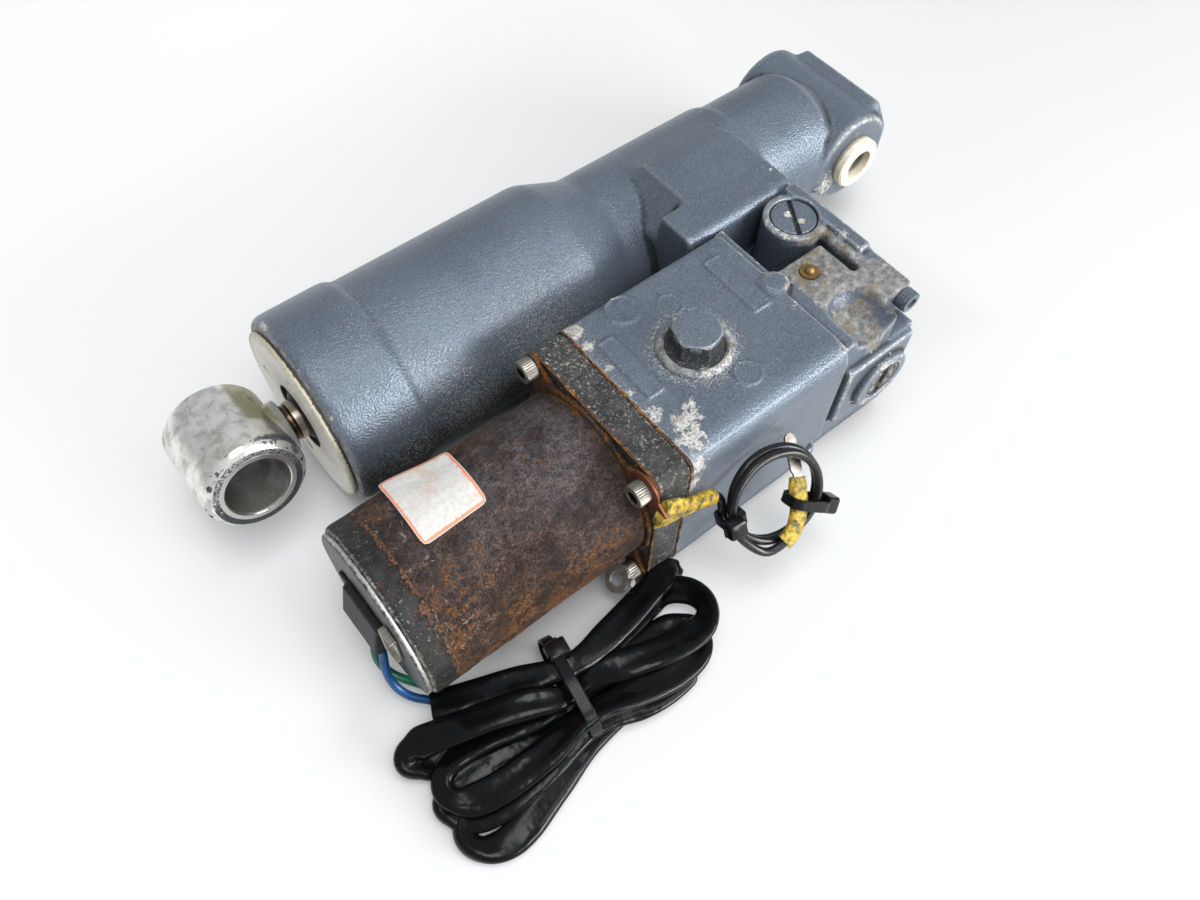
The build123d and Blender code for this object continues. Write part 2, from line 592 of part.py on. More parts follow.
with BuildPart() as lead_blue:
    lead_info["lead_blue"] = cord([(CAP - 28.1, -104.0, -13.05), (CAP - 28.1, -104.0, -16.5), (CAP - 30.2, -107.3, -22), (CAP - 31.0, -109.6, -28),
                                   (CAP - 30.4, -114.0, -33.5), (CAP - 27.4, -119.3, -37.0), (CAP - 22.3, -124.4, -37.6),
                                   (CAP - 17.5, -129.9, -37.2)], LEAD_R)
save(lead_blue.part, "lead_blue")

COIL_TOP, COIL_BOT = -21.0, -43.3
coil_outline = [(-48, -136.5), (-46, -176), (-38, -186), (-22, -189.5), (26, -178.5), (95, -170), (103.5, -161), (101, -146),
                (92, -142), (72, -140.5), (30, -134.5), (-10, -131.2), (-36, -131.2)]
with BuildPart() as harness_coil:
    with BuildSketch(face_z(COIL_BOT)):
        Polygon(*coil_outline, align=None)
    extrude(amount=COIL_TOP - COIL_BOT)
    fillet(harness_coil.edges().filter_by(Axis.Z), 5)
    fillet(harness_coil.faces().sort_by(Axis.Z)[-1].edges(), 4)
save(harness_coil.part, "harness_coil")

# tie round the hank
TX = 28.0
with BuildPart() as harness_tie:
    block((TX - 2.4, TX + 2.4), (-180.2, -132.2), (COIL_BOT - 1.5, COIL_TOP + 1.5))
    block((TX - 3, TX + 3), (-178.75, -133.15), (COIL_BOT - 0.3, COIL_TOP + 0.3), mode=Mode.SUBTRACT)
    block((TX - 4, TX + 4), (-146, -138), (COIL_TOP + 0.4, COIL_TOP + 6.2))
save(harness_tie.part, "harness_tie")

# ground lead: lug under a flange screw, two turns, terminal with sleeve
LUG = Vector(CAP + 78.1, MY - SCR_Y, SCR_Z)
SL0, SL1 = Vector(CAP + 79.5, -141.4, 29.0), Vector(CAP + 106.5, -142.0, 13.0)
with BuildPart() as ground_lug:
    with BuildSketch(Plane(origin=LUG, x_dir=(0, 1, 0), z_dir=(1, 0, 0))):
        Circle(5.6)
        Polygon((-5.4, 1.5), (-13.2, -4.2), (-8.2, -11.0), (2.5, -5.0), align=None)
        Circle(3.0 + GAP, mode=Mode.SUBTRACT)
    extrude(amount=1.0)
    with BuildSketch(Plane(origin=SL0, z_dir=(SL1 - SL0))):
        Circle(3.7)
    extrude(amount=(SL1 - SL0).length)
save(ground_lug.part, "ground_lug")

LC = Vector(CAP + 134.8, -153.5, -2.0)
LU = Vector(0.23, 0.50, 0.83).normalized()
LV = Vector(0.93, -0.28, -0.17)
LV = (LV - LU * LV.dot(LU)).normalized()
LN = LV.cross(LU)               # away from the housing
if LN.Y > 0:
    LN = LN * -1
LC = LC - LV * 2 + LU * 2       # centre of the loop
GR = 1.9                        # outer radius of the lead


def plane_point(v, u, off):
    return LC + LV * v + LU * u + LN * off


def ring_point(deg, r, off):
    a = radians(deg)
    return plane_point(r * cos(a), r * sin(a), off)


OUT = 1 / cos(radians(22.5))
rings = [(205, 22.6, 0.0), (250, 22.6, 0.0), (295, 22.6, 0.0), (340, 22.6, 0.0), (385, 22.6, 0.0), (430, 22.6, 0.0),
         (475, 22.2, 0.3), (520, 20.6, 1.4), (565, 19.2, 2.4), (610, 19.2, 2.4), (655, 19.2, 2.4), (700, 19.2, 2.4),
         (745, 19.2, 2.4), (790, 19.2, 2.5), (835, 19.4, 3.2), (880, 21.5, 5.3), (921, 22.3, 5.4)]
loop = [ring_point(d, r * OUT, off) for d, r, off in rings]
start_dir = (SL1 - SL0).normalized()
path = [SL1 + start_dir * 0.1, SL1 + start_dir * 7.0, plane_point(-24.3, -6.0, -0.6)] + loop[1:]
path += [plane_point(-12.4, -20.4, 6.4), plane_point(-5.4, -22.8, 7.6), plane_point(0.9, -18.9, 8.0)]
with BuildPart() as ground_lead:
    lead_info["ground_lead"] = cord([(p.X, p.Y, p.Z) for p in path], GR)
save(ground_lead.part, "ground_lead")

# terminal: sleeve in two straight parts, then a flat blade
T0 = path[-1] + (path[-1] - path[-2]).normalized() * 0.1
TA = path[-1] + (path[-1] - path[-2]).normalized() * 4.5
T1, T2, T3 = plane_point(9.2, -10.0, 5.6), plane_point(12.0, 4.4, 1.0), plane_point(13.5, 19.7, -6.5)
with BuildPart() as ground_tip:
    cord([(p.X, p.Y, p.Z) for p in (T0, TA, T1, T2)], 3.5)
    blade_dir = (T3 - T2).normalized()
    with Locations(Location(Plane(origin=(T2 + T3) / 2, x_dir=blade_dir, z_dir=(LN - blade_dir * LN.dot(blade_dir)).normalized()))):
        Box((T3 - T2).length + 3, 5.6, 1.2)
save(ground_tip.part, "ground_tip")

with BuildPart() as ground_ties:
    for a0, s0, s1, n0, n1, h0, h1, hn0, hn1, base in (
            (187, 17.2, 26.7, -3.0, 7.9, 21.5, 29.5, 9.1, 14.6, (0, 0)),
            (-23, 0.6, 19.4, -2.5, 9.2, 20.6, 27.2, -0.8, 6.4, (5.0, -2.9))):
        rad = LV * cos(radians(a0)) + LU * sin(radians(a0))
        origin = plane_point(base[0], base[1], 0)
        tie_plane = Plane(origin=origin, x_dir=rad, z_dir=rad.cross(LN))
        sgn = 1 if tie_plane.y_dir.dot(LN) > 0 else -1
        with BuildSketch(tie_plane.offset(-2.4)):
            with Locations(((s0 + s1) / 2, sgn * (n0 + n1) / 2)):
                Rectangle(s1 - s0 + 2.4, n1 - n0 + 2.4)
                Rectangle(s1 - s0, n1 - n0, mode=Mode.SUBTRACT)
        extrude(amount=4.8)
        with BuildSketch(tie_plane.offset(-3.9)):
            with Locations(((h0 + h1) / 2, sgn * (hn0 + hn1) / 2)):
                Rectangle(h1 - h0, hn1 - hn0)
        extrude(amount=7.8)
save(ground_ties.part, "ground_ties")

with BuildPart() as harness_clip:
    ring_plane = Plane(origin=(CAP + 68.7, -131.9, -31.5), x_dir=(0.29, -0.81, 0.459), z_dir=(-0.68, 0.17, 0.73))
    with BuildSketch(ring_plane):
        Circle(6.6)
        Circle(3.3, mode=Mode.SUBTRACT)
    extrude(amount=0.7, both=True)
    with Locations(ring_plane * Location((6.9, 0, 0), (0, 90, 0))):
        Cylinder(1.6, 2.6)
save(harness_clip.part, "harness_clip")

for k, (length, radii) in lead_info.items():
    print("cord %s: length %.1f mm, arc radii %s" % (k, length, ["%.1f" % r for r in radii]))
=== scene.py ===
import bpy
import bmesh
import math
import numpy as np
from math import sin, cos, pi, radians, hypot, atan2, sqrt
from mathutils import Vector, Matrix


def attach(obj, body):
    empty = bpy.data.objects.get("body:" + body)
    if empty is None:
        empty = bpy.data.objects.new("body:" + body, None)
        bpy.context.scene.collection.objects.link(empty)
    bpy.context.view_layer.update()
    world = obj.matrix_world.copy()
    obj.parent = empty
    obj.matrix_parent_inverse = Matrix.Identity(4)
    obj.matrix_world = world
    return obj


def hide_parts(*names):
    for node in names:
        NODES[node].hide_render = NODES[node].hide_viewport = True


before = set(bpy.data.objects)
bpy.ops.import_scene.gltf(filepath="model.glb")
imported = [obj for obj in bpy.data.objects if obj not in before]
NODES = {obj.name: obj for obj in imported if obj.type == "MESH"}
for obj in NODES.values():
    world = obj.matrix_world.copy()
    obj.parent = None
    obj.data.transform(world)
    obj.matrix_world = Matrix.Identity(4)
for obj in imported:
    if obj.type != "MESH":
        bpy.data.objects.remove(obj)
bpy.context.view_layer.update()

X0 = -305.0                       # gland end of the barrel, mm
MY = -96.2                        # motor axis
FLOOR = -44.9


def P(x, y, z):
    """millimetres, x from the gland end, to metres"""
    return Vector(((x + X0) / 1000.0, y / 1000.0, z / 1000.0))


# ================================================================ camera, floor, light
def make_camera():
    az, el, roll = radians(-41.78711), radians(58.49421), radians(3.30225)
    back = Vector((sin(az) * cos(el), -cos(az) * cos(el), sin(el)))
    right0 = Vector((0, 0, 1)).cross(back).normalized()
    up0 = back.cross(right0)
    right = right0 * cos(roll) + up0 * sin(roll)
    up = right0 * -sin(roll) + up0 * cos(roll)
    data = bpy.data.cameras.new("camera")
    data.sensor_width = 36.0
    data.lens = 36.0 * 997.205 / 1200.0
    data.clip_start, data.clip_end = 0.01, 20.0
    cam = bpy.data.objects.new("camera", data)
    m = Matrix((right, up, back)).transposed().to_4x4()
    m.translation = Vector((-0.3613326, -0.2559015, 0.3591765))
    cam.matrix_world = m
    bpy.context.scene.collection.objects.link(cam)
    bpy.context.scene.camera = cam


make_camera()


def area_light(name, az, el, dist, size, power, target=(-0.16, -0.07, 0.0), colour=(1, 1, 1), spread=None, size_y=None):
    d = Vector((cos(radians(az)) * cos(radians(el)), sin(radians(az)) * cos(radians(el)), sin(radians(el))))
    data = bpy.data.lights.new(name, "AREA")
    data.shape = "RECTANGLE"
    data.size, data.size_y = size, size_y or size
    data.energy = power
    data.color = colour
    if spread:
        data.spread = radians(spread)
    o = bpy.data.objects.new(name, data)
    o.location = Vector(target) + d * dist
    o.rotation_euler = d.to_track_quat("Z", "Y").to_euler()
    bpy.context.scene.collection.objects.link(o)
    return o


area_light("front_window", -64, 19, 1.5, 1.25, 27.0, size_y=0.38)
area_light("overhead", -100, 80, 1.7, 1.25, 23.0).visible_glossy = False
area_light("overhead_strip", -105, 76, 1.7, 0.34, 7.0, size_y=1.0)
area_light("side", -62, 47, 1.5, 0.6, 3.0)
world = bpy.data.worlds.new("studio")
bpy.context.scene.world = world
world.use_nodes = True
world.node_tree.nodes["Background"].inputs[0].default_value = (0.93, 0.96, 1.0, 1)
world.node_tree.nodes["Background"].inputs[1].default_value = 0.42
bpy.context.scene.view_settings.view_transform = "Standard"


# ================================================================ node graph helper
class Mat:
    def __init__(self, name):
        self.m = bpy.data.materials.new(name)
        self.m.use_nodes = True
        self.nt = self.m.node_tree
        self.nt.nodes.clear()
        self.out = self.nt.nodes.new("ShaderNodeOutputMaterial")
        self.b = self.nt.nodes.new("ShaderNodeBsdfPrincipled")
        self.nt.links.new(self.b.outputs[0], self.out.inputs[0])
        tc = self.nt.nodes.new("ShaderNodeTexCoord")
        mp = self.nt.nodes.new("ShaderNodeMapping")
        mp.inputs["Scale"].default_value = (1000, 1000, 1000)
        self.nt.links.new(tc.outputs["Object"], mp.inputs[0])
        self.co = mp.outputs[0]

    def put(self, sock, v):
        if hasattr(v, "is_output"):
            self.nt.links.new(v, sock)
        elif isinstance(v, (tuple, list)):
            sock.default_value = tuple(v) + ((1.0,) if len(v) == 3 and len(sock.default_value) == 4 else ())
        else:
            sock.default_value = v

    def set(self, **kw):
        names = {"colour": "Base Color", "rough": "Roughness", "metal": "Metallic", "normal": "Normal", "coat": "Coat Weight",
                 "coat_rough": "Coat Roughness", "ior": "IOR", "spec": "Specular IOR Level", "sss": "Subsurface Weight",
                 "sss_scale": "Subsurface Scale", "sheen": "Sheen Weight", "aniso": "Anisotropic"}
        for k, v in kw.items():
            self.put(self.b.inputs[names[k]], v)
        return self.m

    def vec(self, scale=(1, 1, 1), off=(0, 0, 0), rot=(0, 0, 0), co=None):
        n = self.nt.nodes.new("ShaderNodeMapping")
        n.inputs["Location"].default_value = off
        n.inputs["Rotation"].default_value = rot
        n.inputs["Scale"].default_value = scale
        self.nt.links.new(co or self.co, n.inputs[0])
        return n.outputs[0]

    def noise(self, scale, detail=4.0, rough=0.55, dist=0.0, off=0.0, co=None, kind="FBM"):
        n = self.nt.nodes.new("ShaderNodeTexNoise")
        n.noise_dimensions = "3D"
        try:
            n.noise_type = kind
        except TypeError:
            pass
        c = co or self.co
        if off:
            c = self.vec(off=(off, off * 1.7, off * 0.6), co=c)
        self.nt.links.new(c, n.inputs["Vector"])
        n.inputs["Scale"].default_value = scale
        n.inputs["Detail"].default_value = detail
        n.inputs["Roughness"].default_value = rough
        n.inputs["Distortion"].default_value = dist
        return n.outputs[0]

    def voro(self, scale, feature="F1", out="Distance", rand=1.0, co=None):
        n = self.nt.nodes.new("ShaderNodeTexVoronoi")
        n.feature = feature
        self.nt.links.new(co or self.co, n.inputs["Vector"])
        n.inputs["Scale"].default_value = scale
        n.inputs["Randomness"].default_value = rand
        return n.outputs[out]

    def wave(self, scale, direction="X", dist=0.0, co=None, profile="SIN"):
        n = self.nt.nodes.new("ShaderNodeTexWave")
        n.bands_direction = direction
        n.wave_profile = profile
        self.nt.links.new(co or self.co, n.inputs["Vector"])
        n.inputs["Scale"].default_value = scale
        n.inputs["Distortion"].default_value = dist
        return n.outputs[1]

    def ramp(self, fac, stops, interp="LINEAR"):
        n = self.nt.nodes.new("ShaderNodeValToRGB")
        e = n.color_ramp.elements
        while len(e) < len(stops):
            e.new(0.5)
        for i, (p, c) in enumerate(stops):
            e[i].position = p
            e[i].color = (c, c, c, 1) if isinstance(c, (int, float)) else tuple(c) + (1,)
        n.color_ramp.interpolation = interp
        self.put(n.inputs[0], fac)
        return n.outputs[0]

    def math(self, op, a, b=0.0, c=0.0, clamp=False):
        n = self.nt.nodes.new("ShaderNodeMath")
        n.operation = op
        n.use_clamp = clamp
        self.put(n.inputs[0], a)
        self.put(n.inputs[1], b)
        self.put(n.inputs[2], c)
        return n.outputs[0]

    def add(self, a, b):
        return self.math("ADD", a, b)

    def mul(self, a, b):
        return self.math("MULTIPLY", a, b)

    def sub(self, a, b):
        return self.math("SUBTRACT", a, b)

    def mx(self, a, b):
        return self.math("MAXIMUM", a, b)

    def step(self, v, a, b, lo=0.0, hi=1.0):
        n = self.nt.nodes.new("ShaderNodeMapRange")
        n.interpolation_type = "SMOOTHSTEP"
        self.put(n.inputs["Value"], v)
        n.inputs["From Min"].default_value = a
        n.inputs["From Max"].default_value = b
        n.inputs["To Min"].default_value = lo
        n.inputs["To Max"].default_value = hi
        return n.outputs[0]

    def mix(self, fac, a, b, blend="MIX"):
        n = self.nt.nodes.new("ShaderNodeMix")
        n.data_type = "RGBA"
        n.blend_type = blend
        ins = [i for i in n.inputs if i.enabled]
        self.put(ins[0], fac)
        self.put(ins[1], a)
        self.put(ins[2], b)
        return [o for o in n.outputs if o.enabled][0]

    def mixf(self, fac, a, b):
        n = self.nt.nodes.new("ShaderNodeMix")
        n.data_type = "FLOAT"
        ins = [i for i in n.inputs if i.enabled]
        self.put(ins[0], fac)
        self.put(ins[1], a)
        self.put(ins[2], b)
        return [o for o in n.outputs if o.enabled][0]

    def attr(self, name):
        n = self.nt.nodes.new("ShaderNodeAttribute")
        n.attribute_name = name
        return n.outputs["Fac"]

    def xyz(self, co=None):
        n = self.nt.nodes.new("ShaderNodeSeparateXYZ")
        self.nt.links.new(co or self.co, n.inputs[0])
        return n.outputs

    def bump(self, height, dist, strength=1.0, normal=None):
        n = self.nt.nodes.new("ShaderNodeBump")
        n.inputs["Strength"].default_value = strength
        n.inputs["Distance"].default_value = dist
        self.put(n.inputs["Height"], height)
        if normal is not None:
            self.nt.links.new(normal, n.inputs["Normal"])
        return n.outputs[0]


# ================================================================ materials
def mat_paint():
    m = Mat("grey_paint")
    wear, bare, edge, dirt, salt = (m.attr(a) for a in ("wear", "bare", "edge", "dirt", "salt"))
    big = m.noise(0.03, 3)
    peel = m.noise(1.05, 2, 0.5)
    fine = m.noise(1.5, 3, 0.6, off=31)
    base = m.mix(m.step(big, 0.3, 0.7), (0.104, 0.131, 0.168), (0.128, 0.159, 0.199))
    base = m.mix(m.mul(m.step(m.noise(0.2, 5, 0.6, off=7), 0.48, 0.75), 0.35), base, (0.17, 0.195, 0.225))
    base = m.mix(m.mul(m.step(fine, 0.52, 0.64), 0.42), base, (0.25, 0.29, 0.34))
    base = m.mix(m.mul(m.step(m.noise(1.4, 3, 0.6, off=99), 0.48, 0.36), 0.5), base, (0.045, 0.056, 0.072))
    # thin paint on the edges
    base = m.mix(m.mul(m.step(m.add(edge, m.mul(m.sub(m.noise(0.6, 4, off=45), 0.5), 0.8)), 0.25, 0.9), 0.55), base, (0.30, 0.325, 0.345))
    # grime and painted shade in the hollows and in the valley beside the motor
    grime_and_shade = m.mul(m.step(m.add(dirt, m.mul(m.sub(m.noise(0.5, 5, 0.6, off=3), 0.5), 0.7)), 0.2, 0.8), 0.9)
    base = m.mix(grime_and_shade, base, (0.024, 0.025, 0.025))
    # bare and corroded alloy where the paint is gone
    n1 = m.noise(0.30, 10, 0.68, off=11)
    n2 = m.noise(1.4, 6, 0.7, off=5)
    lost = m.mx(wear, m.mul(edge, 0.62))
    chip = m.step(m.add(m.add(m.mul(lost, 0.78), m.mul(m.sub(n1, 0.5), 1.5)), m.mul(m.sub(n2, 0.5), 0.4)), 0.50, 0.545)
    naked = m.step(m.add(bare, m.mul(m.sub(n1, 0.5), 0.9)), 0.45, 0.52)
    dots = m.step(m.add(m.noise(1.35, 4, 0.62, off=77), m.mul(salt, 0.20)), 0.66, 0.71)
    dots = m.mul(dots, m.step(salt, 0.10, 0.30))
    alloy = m.ramp(m.noise(1.0, 8, 0.68, off=21), [(0.32, (0.14, 0.135, 0.12)), (0.43, (0.38, 0.375, 0.35)), (0.52, (0.64, 0.635, 0.61)), (0.64, (0.88, 0.87, 0.84))])
    alloy = m.mix(m.mul(m.step(m.noise(0.14, 4, off=41), 0.52, 0.66), 0.5), alloy, (0.36, 0.27, 0.14))
    dull = m.ramp(m.noise(0.30, 8, 0.66, off=63), [(0.32, (0.10, 0.10, 0.097)), (0.44, (0.205, 0.205, 0.20)), (0.55, (0.31, 0.31, 0.305)), (0.68, (0.50, 0.50, 0.49))])
    dull = m.mix(m.mul(m.step(m.noise(1.1, 6, 0.7, off=67), 0.58, 0.66), 0.55), dull, (0.70, 0.69, 0.67))
    dull = m.mix(m.mul(m.step(m.noise(0.12, 6, 0.62, off=71), 0.52, 0.64), 0.6), dull, (0.22, 0.165, 0.095))
    colour = m.mix(chip, base, alloy)
    colour = m.mix(naked, colour, dull)
    colour = m.mix(m.mul(dots, 0.75), colour, (0.46, 0.48, 0.47))
    gone = m.mx(chip, naked)
    rough = m.mixf(gone, m.add(0.32, m.mul(m.sub(fine, 0.5), 0.2)), 0.55)
    rough = m.mixf(grime_and_shade, rough, 0.8)
    metal = m.mixf(gone, 0.42, 0.45)
    h = m.add(m.mul(peel, 1.0), m.mul(fine, 0.30))
    crust = m.mul(gone, m.sub(m.mul(m.noise(1.3, 8, 0.7, off=2), 2.4), 1.5))
    h = m.add(m.add(h, crust), m.mul(dots, 0.3))
    return m.set(colour=colour, rough=rough, metal=metal, normal=m.bump(h, 0.00034, 1.0), spec=0.6)


def mat_zinc():
    """passivated end disc: cream, with a brown worn ring at its rim"""
    m = Mat("zinc_cap")
    x, y, z = m.xyz()
    r = m.math("SQRT", m.add(m.mul(y, y), m.mul(z, z)))
    n = m.noise(0.09, 5, 0.6)
    c = m.mix(m.step(n, 0.3, 0.7), (0.84, 0.81, 0.73), (0.93, 0.91, 0.86))
    c = m.mix(m.mul(m.step(m.add(r, m.mul(m.noise(0.25, 5), 5)), 37.2, 41.5), 0.55), c, (0.58, 0.54, 0.36))
    spots = m.step(m.noise(0.9, 8, 0.7, off=4), 0.60, 0.66)
    rim = m.step(m.add(r, m.mul(m.sub(m.noise(0.5, 6, 0.7, off=8), 0.5), 5.5)), 38.6, 39.6)
    c = m.mix(m.mul(rim, 0.7), c, (0.34, 0.29, 0.20))
    c = m.mix(m.mul(spots, m.mul(rim, 0.9)), c, (0.03, 0.03, 0.03))
    gx = m.add(x, 305.0)
    joint = m.mul(m.step(m.add(gx, m.mul(m.sub(m.noise(0.7, 7, 0.72, off=15), 0.5), 2.6)), 1.25, 1.7), m.step(r, 38.6, 39.2))
    c = m.mix(m.mul(joint, 0.94), c, (0.014, 0.014, 0.014))
    c = m.mix(m.step(r, 15.9, 15.1), c, (0.03, 0.032, 0.03))
    return m.set(colour=c, rough=m.add(0.40, m.mul(n, 0.12)), metal=0.10,
                 normal=m.bump(m.add(m.noise(0.6, 6, 0.6), m.mul(rim, m.noise(2.0, 5))), 0.00010, 0.5))


def mat_steel(name, colour=(0.62, 0.61, 0.58), rough=0.22, metal=1.0, scratch=0.35, dark=0.4, brown=0.0):
    m = Mat(name)
    n = m.noise(0.12, 6, 0.6)
    s = m.noise(1.0, 5, 0.6, co=m.vec(scale=(0.12, 2.2, 2.2)))
    c = m.mix(m.mul(m.step(n, 0.35, 0.75), dark), colour, tuple(v * 0.45 for v in colour))
    if brown:
        c = m.mix(m.mul(m.step(m.noise(0.35, 7, 0.65, off=5), 0.5, 0.7), brown), c, (0.16, 0.09, 0.04))
    # painted shade with grime: dark where the mesh is marked, the screw sockets
    hole = m.attr("dirt")
    c = m.mix(m.mul(hole, 0.94), c, (0.012, 0.011, 0.010))
    r = m.add(m.add(rough, m.mul(m.sub(s, 0.5), scratch * 0.5)), m.mul(hole, 0.4))
    return m.set(colour=c, rough=r, metal=metal, normal=m.bump(m.add(s, m.noise(2.5, 6, 0.7)), 0.00006, scratch))


def mat_bush():
    """bored bush: bright ring; bore painted darker towards one side as shade, with paler spots"""
    m = Mat("bush_steel")
    x, y, z = m.xyz()
    gx = m.add(x, 336.0)
    along = m.add(m.mul(y, -cos(radians(10))), m.mul(z, sin(radians(10))))
    bore = m.step(along, 22.2, 21.4)
    n = m.noise(0.050, 5, 0.55, off=2)
    n2 = m.noise(0.5, 6, 0.7, off=5)
    perp = m.add(m.mul(y, sin(radians(10))), m.mul(z, cos(radians(10))))
    # painted shade: the bore darkens towards one side
    low = m.step(m.add(m.add(m.mul(gx, -0.6), m.mul(perp, -1.0)), m.mul(m.sub(n, 0.5), 60)), -6, 12)
    c = m.mix(m.mul(bore, m.mul(low, 0.85)), (0.66, 0.65, 0.62), (0.028, 0.024, 0.020))
    c = m.mix(m.mul(m.mul(bore, m.step(n2, 0.54, 0.66)), 0.5), c, (0.28, 0.26, 0.23))
    return m.set(colour=c, rough=m.add(0.20, m.mul(bore, 0.10)), metal=m.mixf(m.mul(bore, low), 0.9, 0.35), normal=m.bump(n2, 0.00006, 0.4))


def mat_plate():
    """thin end plate: face painted dark as shade, mottled with stains; bright worn rim"""
    m = Mat("end_plate_steel")
    x, y, z = m.xyz()
    dy = m.add(y, 96.2)
    r = m.math("SQRT", m.add(m.mul(dy, dy), m.mul(z, z)))
    n = m.noise(0.5, 8, 0.7)
    rim = m.step(m.add(r, m.mul(m.sub(n, 0.5), 3.0)), 35.6, 36.3)
    # painted shade: the face is coloured dark and mottled, the rim stays bright
    c = m.mix(rim, m.mix(m.step(n, 0.42, 0.6), (0.030, 0.032, 0.031), (0.10, 0.10, 0.095)), (0.62, 0.61, 0.58))
    c = m.mix(m.mul(m.step(m.noise(1.4, 6, 0.7, off=8), 0.56, 0.62), 0.8), c, (0.03, 0.028, 0.024))
    return m.set(colour=c, rough=0.42, metal=0.8, normal=m.bump(n, 0.0003, 0.6))


def mat_rod():
    m = Mat("polished_rod")
    x, y, z = m.xyz()
    gx = m.add(x, 305.0)
    groove = m.mul(m.step(gx, -6.6, -5.9), m.step(gx, -3.3, -4.0))
    n = m.noise(0.5, 6, 0.65)
    ring = m.noise(1.0, 4, 0.6, co=m.vec(scale=(3.0, 0.1, 0.1)))
    c = m.mix(m.mul(m.step(n, 0.42, 0.7), 0.45), (0.70, 0.68, 0.66), (0.30, 0.26, 0.22))
    c = m.mix(m.mul(m.mul(m.step(m.add(gx, m.mul(n, 3)), -4.0, -1.2), m.step(gx, 12, 3)), 0.55), c, (0.30, 0.20, 0.10))
    c = m.mix(groove, c, (0.13, 0.095, 0.06))
    return m.set(colour=c, rough=m.add(0.24, m.mul(m.sub(ring, 0.5), 0.2)), metal=1.0, normal=m.bump(ring, 0.00003, 0.5))


def mat_eye():
    """machined eye: bright shell, remains of dark paint on faces, edges and towards the rod"""
    m = Mat("eye_steel")
    x, y, z = m.xyz()
    gx = m.add(x, 336.0)
    ang = radians(10)
    along = m.add(m.mul(y, -cos(ang)), m.mul(z, sin(ang)))          # along the bore, + towards the motor side
    perp = m.add(m.mul(y, sin(ang)), m.mul(z, cos(ang)))
    r = m.math("SQRT", m.add(m.mul(gx, gx), m.mul(perp, perp)))
    nb = m.noise(0.10, 5, 0.6)
    sw = m.noise(0.17, 5, 0.55, dist=0.6, off=13)
    # light steel shell colour, kept partly diffuse as a painted reflection of a bright surround
    shell = m.mix(m.step(nb, 0.35, 0.7), (0.92, 0.91, 0.87), (0.70, 0.69, 0.64))
    shell = m.mix(m.mul(m.step(sw, 0.47, 0.66), 0.55), shell, (0.33, 0.32, 0.29))
    shade = m.mul(m.step(m.add(m.add(gx, m.mul(along, 0.35)), m.mul(m.sub(nb, 0.5), 24)), 4, 16), m.step(perp, 24, 8))
    shell = m.mix(m.mul(shade, 0.62), shell, (0.16, 0.155, 0.15))
    n1 = m.noise(1.3, 9, 0.72, off=3)
    n2 = m.noise(0.18, 4, 0.6, off=23)
    # flat end face keeps its paint, the bevel beside it is bright
    face = m.mul(m.step(along, 22.4, 22.8), m.mul(m.step(r, 19.3, 18.9), m.step(r, 16.2, 16.5)))
    bevel = m.mul(m.step(along, 19.8, 20.2), m.step(along, 22.7, 22.3))
    outer = m.step(r, 21.5, 21.8)
    near_end = m.step(along, 12.5, 20.5)
    side = m.step(gx, -3.0, 15.0)
    want = m.add(m.mul(face, m.add(0.47, m.mul(m.step(perp, 6, -14), 0.24))), m.mul(outer, m.add(m.mul(m.mul(near_end, 0.46), m.add(0.45, side)), m.mul(m.step(gx, 12, 20), 0.30))))
    want = m.add(want, m.mul(bevel, m.mul(m.step(n2, 0.48, 0.60), 0.56)))
    paint = m.step(m.add(want, m.mul(m.sub(n1, 0.5), 1.25)), 0.42, 0.47)
    # yellow-green oxide patch by the rod
    patch = m.mul(m.mul(m.step(gx, 9, 12), m.step(along, 8, 4)), m.mul(m.step(perp, 4, 8), m.mul(outer, m.step(r, 24.6, 23.8))))
    shell = m.mix(m.mul(patch, m.step(n1, 0.30, 0.5)), shell, (0.30, 0.29, 0.17))
    dark = m.mix(m.step(m.noise(2.0, 4, off=2), 0.4, 0.6), (0.012, 0.013, 0.014), (0.075, 0.085, 0.098))
    c = m.mix(paint, shell, dark)
    return m.set(colour=c, rough=m.mixf(paint, m.add(0.27, m.mul(m.sub(sw, 0.5), 0.25)), 0.50), metal=m.mixf(paint, 0.80, 0.1),
                 normal=m.bump(m.add(m.mul(sw, 0.5), m.mul(paint, 1.2)), 0.00008, 0.6))


